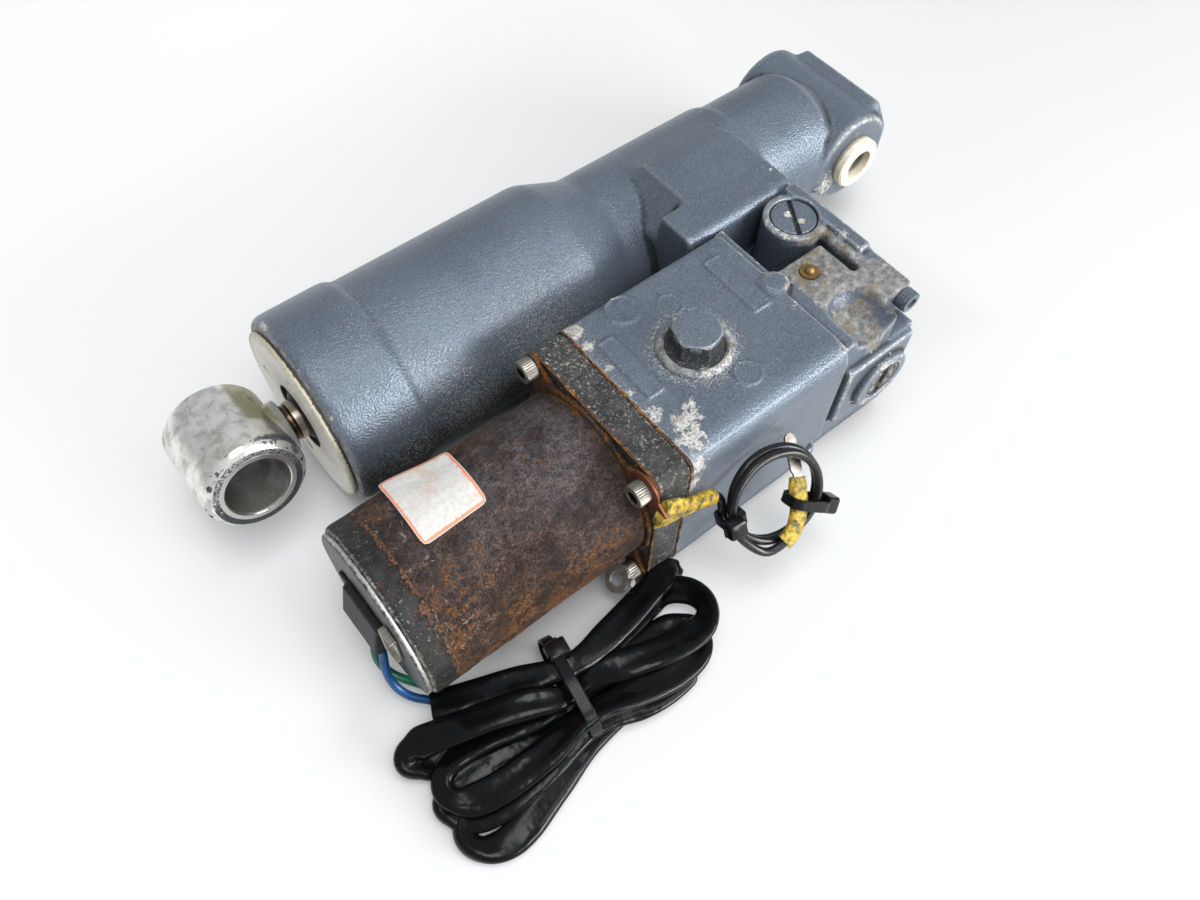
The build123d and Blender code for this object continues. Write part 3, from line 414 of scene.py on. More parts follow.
def mat_rust():
    m = Mat("rusty_case")
    x, y, z = m.xyz()
    gx = m.add(x, 305.0)
    a = m.noise(0.050, 4, 0.6)
    b = m.noise(0.20, 8, 0.68, off=3)
    c = m.noise(1.25, 7, 0.74, off=8)
    d = m.noise(0.42, 9, 0.74, off=19)
    grain = m.add(m.add(m.mul(c, 0.58), m.mul(d, 0.42)), m.mul(m.sub(b, 0.5), 0.24))
    col = m.ramp(grain, [(0.40, (0.005, 0.004, 0.003)), (0.45, (0.026, 0.014, 0.010)), (0.50, (0.066, 0.035, 0.024)), (0.55, (0.145, 0.080, 0.054)), (0.62, (0.36, 0.24, 0.17))])
    # painted sheen: greyer colour on the upper side
    grey = m.mul(m.step(m.add(m.add(z, m.mul(m.sub(gx, 40), 0.25)), m.mul(m.sub(a, 0.5), 60)), 14, 44), 0.82)
    top_sheen_colour = m.ramp(grain, [(0.39, (0.028, 0.023, 0.024)), (0.45, (0.080, 0.070, 0.074)), (0.50, (0.130, 0.116, 0.122)), (0.57, (0.195, 0.178, 0.184)), (0.65, (0.36, 0.33, 0.33))])
    col = m.mix(grey, col, top_sheen_colour)
    # orange bloom
    lowz = m.step(m.add(m.sub(24, z), m.mul(m.sub(44, gx), 0.30)), -16, 40)
    field = m.add(m.add(m.mul(m.sub(b, 0.5), 1.6), m.mul(m.sub(d, 0.5), 1.5)), m.add(m.mul(m.sub(a, 0.5), 1.5), m.mul(lowz, 0.27)))
    orange = m.step(field, 0.24, 0.37)
    ocol = m.ramp(m.noise(1.3, 7, 0.74, off=91), [(0.38, (0.028, 0.012, 0.006)), (0.46, (0.10, 0.040, 0.012)), (0.53, (0.25, 0.096, 0.022)), (0.60, (0.46, 0.19, 0.042)), (0.69, (0.80, 0.45, 0.15))])
    col = m.mix(m.mul(orange, 0.9), col, ocol)
    flecks = m.step(m.noise(1.1, 5, 0.65, off=27), 0.64, 0.69)
    col = m.mix(m.mul(flecks, m.mul(0.85, m.add(0.35, lowz))), col, (0.66, 0.33, 0.10))
    pits = m.step(m.noise(0.62, 7, 0.75, off=33), 0.42, 0.36)
    col = m.mix(m.mul(pits, 0.92), col, (0.006, 0.005, 0.005))
    dark = m.step(m.add(m.noise(0.075, 5, 0.65, off=57), m.mul(m.sub(d, 0.5), 0.5)), 0.50, 0.64)
    col = m.mix(m.mul(dark, 0.60), col, (0.014, 0.010, 0.009))
    # dark stain beside the flange
    near = m.step(m.add(gx, m.mul(m.sub(b, 0.5), 26)), 68, 80)
    col = m.mix(m.mul(near, 0.55), col, (0.030, 0.015, 0.010))
    rim = m.step(m.add(gx, m.mul(m.sub(d, 0.5), 12)), 77.4, 79.0)
    col = m.mix(m.mul(rim, m.step(b, 0.40, 0.55)), col, ocol)
    # pale salt lines near the cap
    vein = m.step(m.math("ABSOLUTE", m.sub(m.noise(0.085, 6, 0.62, dist=1.0, off=51), 0.5)), 0.010, 0.003)
    vein = m.mul(m.mul(vein, m.step(m.add(gx, m.mul(m.sub(b, 0.5), 24)), 8, 0)), m.step(m.noise(0.30, 5, off=61), 0.50, 0.58))
    col = m.mix(m.mul(vein, 0.8), col, (0.60, 0.58, 0.57))
    h = m.add(m.add(m.mul(b, 1.2), m.mul(c, 1.0)), m.mul(d, 1.2))
    return m.set(colour=col, rough=m.add(0.36, m.mul(c, 0.42)), metal=0.05, normal=m.bump(h, 0.0022, 1.0), spec=0.45)


def mat_black_worn(name="black_worn", amount=0.5, brown=0.3, rust_from=None, grey=1.0):
    """black paint over alloy, worn to pale specks, with attribute driven loss"""
    m = Mat(name)
    wear = m.attr("wear")
    edge = m.attr("edge")
    n = m.noise(0.90, 9, 0.74)
    n2 = m.noise(2.0, 6, 0.7, off=9)
    base = m.mix(m.step(m.noise(0.2, 5, off=2), 0.35, 0.7), tuple(grey * q for q in (0.009, 0.0095, 0.010)), tuple(grey * q for q in (0.026, 0.027, 0.027)))
    base = m.mix(m.mul(m.step(m.noise(1.6, 5, 0.7, off=12), 0.5, 0.66), 0.5), base, tuple(grey * q for q in (0.045, 0.046, 0.045)))
    base = m.mix(m.mul(m.step(m.noise(0.35, 6, 0.65, off=6), 0.52, 0.66), brown), base, (0.10, 0.045, 0.016))
    mask = m.step(m.add(m.add(m.mul(m.mx(wear, edge), 0.55), m.mul(amount, 0.25)), m.add(m.mul(m.sub(n, 0.5), 1.1), m.mul(m.sub(n2, 0.5), 0.7))), 0.44, 0.50)
    pale = m.ramp(m.noise(0.5, 8, 0.72, off=14), [(0.40, (0.055, 0.054, 0.050)), (0.50, (0.16, 0.157, 0.148)), (0.57, (0.36, 0.355, 0.335)), (0.66, (0.74, 0.73, 0.70))])
    c = m.mix(mask, base, pale)
    rough = m.mixf(mask, 0.45, 0.55)
    h = m.add(m.mul(n, 1.0), m.mul(mask, 0.5))
    if rust_from is not None:
        gx = m.add(m.xyz()[0], 305.0)
        r = m.step(m.add(gx, m.add(m.mul(m.sub(m.noise(0.16, 7, 0.7, off=29), 0.5), 16), m.mul(m.sub(n, 0.5), 5))), rust_from - 0.4, rust_from + 0.4)
        g = m.noise(1.15, 7, 0.74, off=8)
        rc = m.ramp(g, [(0.36, (0.010, 0.007, 0.006)), (0.46, (0.045, 0.026, 0.020)), (0.54, (0.11, 0.060, 0.042)), (0.66, (0.26, 0.15, 0.09))])
        rc = m.mix(m.mul(m.step(m.noise(0.42, 9, 0.74, off=19), 0.56, 0.64), 0.8), rc, (0.36, 0.13, 0.025))
        c = m.mix(r, c, rc)
        rough = m.mixf(r, rough, 0.8)
        h = m.add(h, m.mul(r, m.add(0.8, g)))
    return m.set(colour=c, rough=rough, metal=m.mul(mask, 0.35), normal=m.bump(h, 0.00045, 0.9), spec=0.28)


def mat_rust_bead():
    m = Mat("rust_bead")
    n = m.noise(1.3, 8, 0.72)
    n2 = m.noise(0.10, 5, 0.65, off=4)
    n3 = m.noise(0.45, 6, 0.7, off=24)
    c = m.ramp(n, [(0.36, (0.012, 0.008, 0.006)), (0.48, (0.05, 0.026, 0.016)), (0.57, (0.12, 0.062, 0.035)), (0.70, (0.26, 0.16, 0.09))])
    o = m.ramp(n, [(0.36, (0.06, 0.022, 0.007)), (0.48, (0.22, 0.080, 0.016)), (0.60, (0.42, 0.17, 0.035)), (0.74, (0.55, 0.36, 0.16))])
    c = m.mix(m.step(m.add(n2, m.mul(m.sub(n3, 0.5), 0.9)), 0.50, 0.58), c, o)
    c = m.mix(m.mul(m.step(m.noise(0.9, 6, 0.7, off=44), 0.62, 0.68), 0.7), c, (0.50, 0.47, 0.40))
    return m.set(colour=c, rough=0.8, normal=m.bump(n, 0.0006, 0.9), spec=0.3)


def mat_pvc(name, colour, rough=0.32, dust=0.12):
    m = Mat(name)
    n = m.noise(0.5, 6, 0.65)
    d = m.step(m.noise(1.6, 7, 0.7, off=4), 0.60, 0.74)
    c = m.mix(m.mul(d, dust), colour, (0.30, 0.31, 0.30))
    c = m.mix(m.mul(m.step(m.noise(0.07, 3, off=9), 0.4, 0.7), 0.35), c, tuple(v * 0.55 for v in colour))
    return m.set(colour=c, rough=m.add(rough, m.mul(m.sub(n, 0.5), 0.25)), normal=m.bump(m.add(n, m.mul(m.noise(3.5, 4), 0.3)), 0.00008, 0.45), spec=0.5)


def mat_sleeve():
    m = Mat("vinyl_sleeve")
    n = m.noise(0.10, 3, 0.5)
    d = m.step(m.noise(1.3, 6, 0.75, off=14), 0.70, 0.76)
    c = m.mix(m.mul(d, 0.03), (0.0022, 0.0024, 0.0028), (0.20, 0.20, 0.20))
    return m.set(colour=c, rough=m.add(0.17, m.mul(m.step(n, 0.35, 0.65), 0.09)), normal=m.bump(m.noise(0.12, 2, 0.5, off=3), 0.0008, 0.6), spec=0.24)


def mat_plain(name, colour, rough=0.5, metal=0.0, var=0.25, scale=0.3, bump=0.00008, **kw):
    m = Mat(name)
    n = m.noise(scale, 6, 0.62)
    f = m.noise(scale * 7, 5, 0.6, off=6)
    c = m.mix(m.mul(m.step(n, 0.35, 0.7), var), colour, tuple(v * 0.5 for v in colour))
    return m.set(colour=c, rough=m.add(rough, m.mul(m.sub(f, 0.5), 0.15)), metal=metal, normal=m.bump(m.add(n, m.mul(f, 0.4)), bump, 0.5), **kw)


def mat_nylon():
    m = Mat("nylon")
    x, y, z = m.xyz()
    n = m.noise(0.25, 6, 0.62)
    c = m.mix(m.step(n, 0.35, 0.75), (0.74, 0.71, 0.60), (0.60, 0.55, 0.40))
    g = m.step(m.add(y, m.mul(n, 2.0)), -35.2, -33.8)
    c = m.mix(m.mul(g, 0.7), c, (0.13, 0.11, 0.07))
    return m.set(colour=c, rough=0.42, normal=m.bump(m.noise(1.5, 5), 0.00008, 0.4), sss=0.25, sss_scale=0.003)


def mat_label():
    m = Mat("label")
    u, v, wl = m.attr("lu"), m.attr("lv"), m.attr("edge")
    n = m.noise(0.5, 6, 0.65)
    st = m.noise(0.12, 5, 0.65, off=8)
    c = m.mix(m.step(n, 0.4, 0.7), (0.60, 0.59, 0.565), (0.50, 0.49, 0.47))
    c = m.mix(m.mul(m.step(st, 0.50, 0.68), 0.42), c, (0.56, 0.34, 0.20))
    c = m.mix(m.mul(m.step(m.noise(0.9, 8, 0.7, off=17), 0.60, 0.72), 0.35), c, (0.33, 0.28, 0.22))
    border = m.mul(m.step(m.add(wl, m.mul(m.sub(n, 0.5), 0.10)), 0.905, 0.925), m.step(m.add(wl, m.mul(m.sub(n, 0.5), 0.08)), 0.992, 0.975))
    c = m.mix(m.mul(border, 0.85), c, (0.72, 0.19, 0.075))
    c = m.mix(m.mul(m.step(m.noise(1.5, 7, 0.7, off=4), 0.55, 0.7), m.mul(border, 0.6)), c, (0.62, 0.42, 0.30))
    return m.set(colour=c, rough=0.42, normal=m.bump(m.add(m.noise(0.35, 4), m.mul(n, 0.4)), 0.0003, 0.45), spec=0.5)


def mat_yellow():
    m = Mat("yellow_sleeve")
    n = m.noise(0.32, 7, 0.66)
    n2 = m.noise(0.9, 8, 0.7, off=7)
    c = m.ramp(n, [(0.38, (0.040, 0.034, 0.006)), (0.46, (0.17, 0.130, 0.008)), (0.55, (0.42, 0.285, 0.010)), (0.68, (0.58, 0.44, 0.06))])
    c = m.mix(m.mul(m.step(n2, 0.60, 0.66), 0.75), c, (0.70, 0.66, 0.50))
    c = m.mix(m.mul(m.step(n2, 0.44, 0.36), 0.85), c, (0.045, 0.032, 0.008))
    c = m.mix(m.mul(m.step(m.noise(0.2, 5, off=31), 0.56, 0.66), 0.6), c, (0.33, 0.12, 0.015))
    return m.set(colour=c, rough=0.36, normal=m.bump(m.add(n, n2), 0.0006, 0.7))


M_PAINT = mat_paint()
M_ZINC = mat_zinc()
M_ROD = mat_rod()
M_EYE = mat_eye()
M_BUSH = mat_bush()
M_SCREW = mat_steel("zinc_screw", (0.44, 0.42, 0.37), 0.36, 0.95, 0.6, 0.8, brown=0.5)
M_PLATE = mat_plate()
M_CLIP = mat_steel("clip_steel", (0.50, 0.48, 0.42), 0.40, 0.85, 0.5, 0.7, brown=0.5)
M_RING = mat_steel("ring_steel", (0.50, 0.49, 0.45), 0.42, 0.8, 0.6, 0.7, brown=0.6)
M_RUST = mat_rust()
M_CAPB = mat_black_worn("cap_black", 0.62, 0.3, rust_from=-12.6)
M_FLANGE = mat_black_worn("flange_black", 0.90, 0.15, grey=2.1)
M_BEAD = mat_rust_bead()
M_SLEEVE = mat_sleeve()
M_TIE = mat_plain("black_nylon", (0.0045, 0.0047, 0.005), 0.26, var=0.4, bump=0.0001, spec=0.35)
M_RUBBER = mat_black_worn("black_rubber", 0.05, 0.0)
M_GREEN = mat_pvc("green_lead", (0.003, 0.11, 0.062))
M_BLUE = mat_pvc("blue_lead", (0.005, 0.065, 0.21))
M_BLACK = mat_pvc("black_lead", (0.006, 0.0062, 0.0065), 0.28, 0.06)
M_LABEL = mat_label()
M_NYLON = mat_nylon()
M_YELLOW = mat_yellow()
M_LUG = mat_plain("lug_copper", (0.20, 0.065, 0.035), 0.45, 0.6, 0.6, 0.5, 0.0003)
M_BRASS = mat_plain("brass", (0.34, 0.22, 0.09), 0.42, 0.8, 0.8, 0.8, 0.0003)
M_TIP = mat_steel("tinned_tip", (0.34, 0.31, 0.28), 0.36, 0.95, 0.6, 0.8, brown=0.5)

# finishes of the pieces inside
M_ALLOY = mat_steel("machined_alloy", (0.66, 0.67, 0.68), 0.3, 1.0, 0.4, 0.2)
M_GROUND = mat_steel("ground_steel", (0.52, 0.52, 0.52), 0.24, 1.0, 0.3, 0.3)
M_BRONZE = mat_plain("bronze", (0.42, 0.26, 0.12), 0.4, 0.9)
M_FERRITE = mat_plain("ferrite", (0.06, 0.06, 0.065), 0.6)
M_PHENOL = mat_plain("phenolic", (0.20, 0.09, 0.045), 0.5)
M_CARBON = mat_plain("carbon", (0.03, 0.03, 0.03), 0.55)
M_COPPER = mat_plain("copper_wire", (0.55, 0.22, 0.10), 0.35, 0.8)
M_LAMIN = mat_steel("laminations", (0.30, 0.30, 0.31), 0.4, 0.9, 0.5, 0.3)
M_MESH = mat_plain("filter_gauze", (0.45, 0.36, 0.18), 0.5, 0.7)
M_PTFE = mat_plain("seal_ring", (0.08, 0.08, 0.08), 0.5)

INNER = {"rod_bush": M_BRONZE, "rod_seal": M_RUBBER, "tilt_tube": M_GROUND, "tube_guide": M_ALLOY, "trim_piston": M_ALLOY,
         "trim_rings": M_PTFE, "tilt_piston": M_ALLOY, "tilt_piston_ring": M_PTFE, "shock_balls": M_GROUND, "rod_nut": M_SCREW,
         "free_piston": M_ALLOY, "relief_spring": M_GROUND, "relief_plug": M_SCREW, "magnets": M_FERRITE, "brush_plate": M_PHENOL,
         "brushes": M_CARBON, "motor_bearings": M_GROUND, "motor_shaft": M_GROUND, "armature_core": M_LAMIN,
         "armature_windings": M_COPPER, "commutator": M_COPPER, "shaft_coupling": M_GROUND, "pump_body": M_ALLOY,
         "pump_cover": M_ALLOY, "drive_gear": M_GROUND, "driven_gear": M_GROUND, "suction_filter": M_MESH,
         "piston_rod": M_ROD, "rod_eye": M_EYE, "eye_bush": M_BUSH, "gland_cap": M_ZINC, "wiper_seal": M_RUBBER,
         "pivot_bushes": M_NYLON, "fill_plug_seal": M_RUBBER, "gallery_plug": M_BRASS}
for node_name, mat in INNER.items():
    if node_name in NODES:
        me = NODES[node_name].data
        me.materials.clear()
        me.materials.append(mat)


# ================================================================ numpy helpers
def _hash(ix, iy, iz, seed):
    h = (ix.astype(np.uint64) * np.uint64(374761393) + iy.astype(np.uint64) * np.uint64(668265263)
         + iz.astype(np.uint64) * np.uint64(2246822519) + np.uint64(seed * 3266489917 % 4294967296)) & np.uint64(0xFFFFFFFF)
    h ^= h >> np.uint64(15)
    h = (h * np.uint64(2246822519)) & np.uint64(0xFFFFFFFF)
    h ^= h >> np.uint64(13)
    h = (h * np.uint64(3266489917)) & np.uint64(0xFFFFFFFF)
    h ^= h >> np.uint64(16)
    return h.astype(np.float64) / 4294967295.0


def vnoise(p, scale, seed=1):
    """smooth value noise in -1..1; p in millimetres"""
    q = np.asarray(p, np.float64) * scale + 1000.0
    i = np.floor(q).astype(np.int64)
    f = q - i
    f = f * f * f * (f * (f * 6 - 15) + 10)
    out = 0
    for dx in (0, 1):
        wx = f[:, 0] if dx else 1 - f[:, 0]
        for dy in (0, 1):
            wy = f[:, 1] if dy else 1 - f[:, 1]
            for dz in (0, 1):
                wz = f[:, 2] if dz else 1 - f[:, 2]
                out = out + wx * wy * wz * _hash(i[:, 0] + dx, i[:, 1] + dy, i[:, 2] + dz, seed)
    return out * 2 - 1


def fbm(p, scale, octaves=4, gain=0.5, seed=1):
    total, amp, norm = 0, 1.0, 0.0
    for k in range(octaves):
        total = total + amp * vnoise(p, scale * 2 ** k, seed + k * 7)
        norm += amp
        amp *= gain
    return total / norm


def sstep(v, a, b):
    t = np.clip((v - a) / (b - a), 0, 1)
    return t * t * (3 - 2 * t)


def new_mesh(name, verts_mm, faces, mat, smooth=True, crease=None):
    """object from vertices in part millimetres (x from the gland end)"""
    v = np.asarray(verts_mm, np.float64).copy()
    v[:, 0] += X0
    v /= 1000.0
    me = bpy.data.meshes.new(name)
    me.from_pydata(v.tolist(), [], [tuple(int(i) for i in f) for f in faces])
    me.validate()
    bm = bmesh.new()
    bm.from_mesh(me)
    bmesh.ops.recalc_face_normals(bm, faces=bm.faces)
    bm.to_mesh(me)
    bm.free()
    if smooth:
        me.polygons.foreach_set("use_smooth", np.ones(len(me.polygons), bool))
        if crease is not None:
            me.set_sharp_from_angle(angle=radians(crease))
    me.materials.append(mat)
    o = bpy.data.objects.new(name, me)
    bpy.context.scene.collection.objects.link(o)
    return o


def verts_of(o):
    a = np.empty(len(o.data.vertices) * 3)
    o.data.vertices.foreach_get("co", a)
    a = a.reshape(-1, 3) * 1000.0
    a[:, 0] -= X0
    return a


def set_verts(o, mm):
    a = mm.copy()
    a[:, 0] += X0
    o.data.vertices.foreach_set("co", (a / 1000.0).ravel())
    o.data.update()


def normals_of(o):
    n = np.empty(len(o.data.vertices) * 3)
    o.data.vertex_normals.foreach_get("vector", n)
    return n.reshape(-1, 3)


def edges_of(o):
    e = np.empty(len(o.data.edges) * 2, np.int64)
    o.data.edges.foreach_get("vertices", e)
    return e.reshape(-1, 2)


def put_attr(o, name, values):
    at = o.data.attributes.get(name) or o.data.attributes.new(name, "FLOAT", "POINT")
    at.data.foreach_set("value", np.asarray(values, np.float32))


def relax(v, e, rounds, weight=None, lam=0.5, count=None):
    n = len(v)
    if count is None:
        count = np.bincount(e.ravel(), minlength=n).astype(float)
    for _ in range(rounds):
        s = np.empty_like(v)
        for k in range(v.shape[1]):
            s[:, k] = np.bincount(e[:, 0], v[e[:, 1], k], n) + np.bincount(e[:, 1], v[e[:, 0], k], n)
        d = (s / count[:, None] - v) * lam
        if weight is not None:
            d *= weight[:, None]
        v = v + d
    return v


def blur(val, e, rounds, n):
    count = np.maximum(np.bincount(e.ravel(), minlength=n).astype(float), 1)
    for _ in range(rounds):
        s = np.bincount(e[:, 0], val[e[:, 1]], n) + np.bincount(e[:, 1], val[e[:, 0]], n)
        val = 0.5 * val + 0.5 * s / count
    return val


def evaluated(o, name, mat):
    dg = bpy.context.evaluated_depsgraph_get()
    dg.update()
    me = bpy.data.meshes.new_from_object(o.evaluated_get(dg))
    me.name = name
    me.materials.clear()
    me.materials.append(mat)
    me.polygons.foreach_set("use_smooth", np.ones(len(me.polygons), bool))
    r = bpy.data.objects.new(name, me)
    bpy.context.scene.collection.objects.link(r)
    return r


def remeshed(name, nodes, voxel_mm, mat, extras=()):
    """cast skin round CAD nodes and extra closed meshes, as one even quad mesh"""
    bm = bmesh.new()
    for n in nodes:
        t = bmesh.new()
        t.from_mesh(NODES[n].data)
        bmesh.ops.remove_doubles(t, verts=t.verts, dist=2e-6)
        tmp = bpy.data.meshes.new("tmp")
        t.to_mesh(tmp)
        t.free()
        bm.from_mesh(tmp)
        bpy.data.meshes.remove(tmp)
    for verts, faces in extras:
        vs = [bm.verts.new(P(*v)) for v in verts]
        for f in faces:
            bm.faces.new([vs[i] for i in f])
    me = bpy.data.meshes.new(name + "_src")
    bm.to_mesh(me)
    bm.free()
    src = bpy.data.objects.new(name + "_src", me)
    bpy.context.scene.collection.objects.link(src)
    mod = src.modifiers.new("r", "REMESH")
    mod.mode = "VOXEL"
    mod.voxel_size = voxel_mm / 1000.0
    mod.adaptivity = 0.0
    o = evaluated(src, name, mat)
    bpy.data.objects.remove(src)
    return o


def box_extra(x, y, z):
    v = [(a, b, c) for a in x for b in y for c in z]
    f = [(0, 1, 3, 2), (4, 6, 7, 5), (0, 4, 5, 1), (2, 3, 7, 6), (0, 2, 6, 4), (1, 5, 7, 3)]
    return v, f


def prism_extra(poly_a, poly_b):
    """closed solid between two polygons with the same number of points"""
    n = len(poly_a)
    v = list(poly_a) + list(poly_b)
    f = [tuple(range(n - 1, -1, -1)), tuple(range(n, 2 * n))]
    f += [(i, (i + 1) % n, n + (i + 1) % n, n + i) for i in range(n)]
    return v, f


def curvature(v, e, n):
    """signed laplacian height: positive on convex edges"""
    s = relax(v, e, 4, lam=0.6)
    return np.einsum("ij,ij->i", v - s, n)


def spots(v, items):
    """soft blobs: (x, y, z, radius, strength)"""
    out = np.zeros(len(v))
    for x, y, z, r, s in items:
        d2 = ((v - np.array((x, y, z))) ** 2).sum(1)
        out = np.maximum(out, s * np.exp(-d2 / (r * r)))
    return out


def ring_grid(nu, nv, f, closed_u=True, closed_v=False):
    verts = [f(i, j) for i in range(nu) for j in range(nv)]
    faces = []
    for i in range(nu if closed_u else nu - 1):
        for j in range(nv if closed_v else nv - 1):
            a, b = i * nv + j, i * nv + (j + 1) % nv
            c, d = ((i + 1) % nu) * nv + (j + 1) % nv, ((i + 1) % nu) * nv + j
            faces.append((a, b, c, d))
    return verts, faces


def lathe_x(profile, seg, y=0.0, z=0.0):
    """closed (x, r) profile turned about a line along X, as quads"""
    k = len(profile)
    ang = np.arange(seg) * 2 * pi / seg
    verts = [(x, y + r * cos(a), z + r * sin(a)) for a in ang for x, r in profile]
    faces = []
    for i in range(seg):
        for j in range(k):
            a, b = i * k + j, i * k + (j + 1) % k
            c, d = ((i + 1) % seg) * k + (j + 1) % k, ((i + 1) % seg) * k + j
            faces.append((a, b, c, d))
    return verts, faces


# ================================================================ rod and eye
def turned_ring(profile, seg, origin, axis):
    """closed (along, r) profile turned about an axis that lies in the YZ plane"""
    n = np.array(axis, float)
    u = np.array((1.0, 0.0, 0.0))
    w = np.cross(n, u)
    k = len(profile)
    verts = [tuple(np.array(origin) + n * a + (u * cos(t) + w * sin(t)) * r) for t in np.arange(seg) * 2 * pi / seg for a, r in profile]
    faces = [(i * k + j, i * k + (j + 1) % k, ((i + 1) % seg) * k + (j + 1) % k, ((i + 1) % seg) * k + j) for i in range(seg) for j in range(k)]
    return verts, faces


def build_rod():
    v, f = lathe_x([(-13.4, 0.15), (-13.4, 8.6), (-13.0, 9.0), (-6.4, 9.0), (-5.6, 8.3), (-4.4, 8.3), (-3.6, 9.0), (60, 9.0), (145, 9.0),
                    (231, 9.0), (231, 7.0), (258.4, 7.0), (259, 6.4), (259, 0.15)], 144)
    o = new_mesh("polished_rod", v, f, M_ROD, crease=35)
    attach(o, "tilt_ram")
    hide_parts("piston_rod")
    tilt = radians(10)
    axis = (0.0, -cos(tilt), sin(tilt))
    v, f = turned_ring([(-23, 16.45), (-23, 18.7), (-22.75, 19.2), (-20.2, 21.75), (-19.6, 22.0), (-10, 22), (0, 22), (10, 22), (19.6, 22.0),
                        (20.2, 21.75), (22.75, 19.2), (23, 18.7), (23, 16.45)], 220, (-31.0, 0, 0), axis)
    # neck, its foot sunk in the wall of the ring
    seg, base = 160, len(v)
    prof = [(None, 12.0), (-7.3, 12.0), (-6.75, 11.6), (-6.6, 11.1), (-6.6, 9.05), (None, 9.05)]
    k = len(prof)
    for i in range(seg):
        t = 2 * pi * i / seg
        for x, r in prof:
            yy, zz = r * cos(t), r * sin(t)
            if x is None:
                x = -31.0 + sqrt(19.0 ** 2 - (yy * sin(tilt) + zz * cos(tilt)) ** 2)
            v.append((x, yy, zz))
    f += [(base + i * k + j, base + i * k + (j + 1) % k, base + ((i + 1) % seg) * k + (j + 1) % k, base + ((i + 1) % seg) * k + j)
          for i in range(seg) for j in range(k)]
    o = new_mesh("eye_shell", v, f, M_EYE, crease=50)
    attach(o, "tilt_ram")
    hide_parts("rod_eye")
    v, f = turned_ring([(-22.6, 14.0), (-23, 14.4), (-23, 16.3), (-22.9, 16.4), (22.9, 16.4), (23, 16.3), (23, 14.4), (22.6, 14.0), (0, 14.0)],
                       200, (-31.0, 0, 0), axis)
    o = new_mesh("eye_bush_ring", v, f, M_BUSH, crease=35)
    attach(o, "tilt_ram")
    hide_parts("eye_bush")


build_rod()


# ================================================================ cylinder casting
def build_cylinder():
    o = remeshed("cylinder_skin", ["cylinder_casting"], 0.9, M_PAINT)
    v, e = verts_of(o), edges_of(o)
    x, y, z = v.T
    r = np.hypot(y, z)
    w = np.ones(len(v))
    w *= 0.12 + 0.88 * sstep(x, 4.0, 7.0)
    w *= 1 - 0.9 * sstep(-(np.abs(np.hypot(x - 305, z) - 11) - 1.5), 0, 1)
    v = relax(v, e, 16, w)
    set_verts(o, v)
    n = normals_of(o)
    cur = curvature(v, e, n)
    x, y, z = v.T
    edge = np.clip(cur / 0.10, 0, 1)
    edge = blur(edge, e, 2, len(v))
    # grime and painted shade in the concave hollows
    dirt = np.clip(-cur / 0.10, 0, 1)
    dirt = blur(dirt, e, 6, len(v))
    # painted shade in the valley between cylinder and motor
    dirt = np.maximum(dirt, 0.75 * sstep(-y, 30, 44) * sstep(-z, -26, 6) * sstep(-x, -172, -160))
    edge *= 0.55 + 0.45 * sstep(x, 250, 290)
    wear = spots(v, [(3, 18, 38, 7, 0.9), (1.5, -10, 42, 4, 0.8), (3, -30, 32, 4, 0.6), (38, 10, 43, 6, 0.55),
                     (231, -40, 40, 9, 0.55), (238, -26, 33, 8, 0.5), (187, -46, 36, 6, 0.55), (176, -50, 34, 6, 0.5),
                     (305, -33, 16, 9, 0.5), (290, -33, -8, 12, 0.85), (312, -30, -18, 14, 0.8), (329, -20, 18, 8, 0.55), (300, -34, 0, 15, 0.55),
                     (329, 10, 20, 6, 0.5), (246, 10, 33, 4, 0.45)])
    salt = np.maximum(spots(v, [(40, -4, 42, 20, 0.42), (100, -42, 10, 34, 0.9), (60, -44, 4, 30, 0.9), (30, -44, 0, 24, 0.7)]), 0.02)
    bare = 0.95 * sstep(-x, -4.2, -2.6)
    set_verts(o, v + n * (0.05 * fbm(v, 0.12, 3, seed=4))[:, None])
    for k, a in (("wear", wear), ("bare", bare), ("edge", edge), ("dirt", dirt), ("salt", salt)):
        put_attr(o, k, a)
    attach(o, "housing")
    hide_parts("cylinder_casting")
    return o


# ================================================================ reservoir and manifold casting
def frame_line(x, y, x0, x1, y0, y1, w=0.55):
    """height of a raised outline along a rectangle"""
    dx = np.maximum(np.maximum(x0 - x, x - x1), 0)
    dy = np.maximum(np.maximum(y0 - y, y - y1), 0)
    inside = np.minimum(np.minimum(x - x0, x1 - x), np.minimum(y - y0, y1 - y))
    d = np.where((dx + dy) > 0, np.hypot(dx, dy), inside)
    return 1 - sstep(np.abs(d), w * 0.4, w * 1.3)


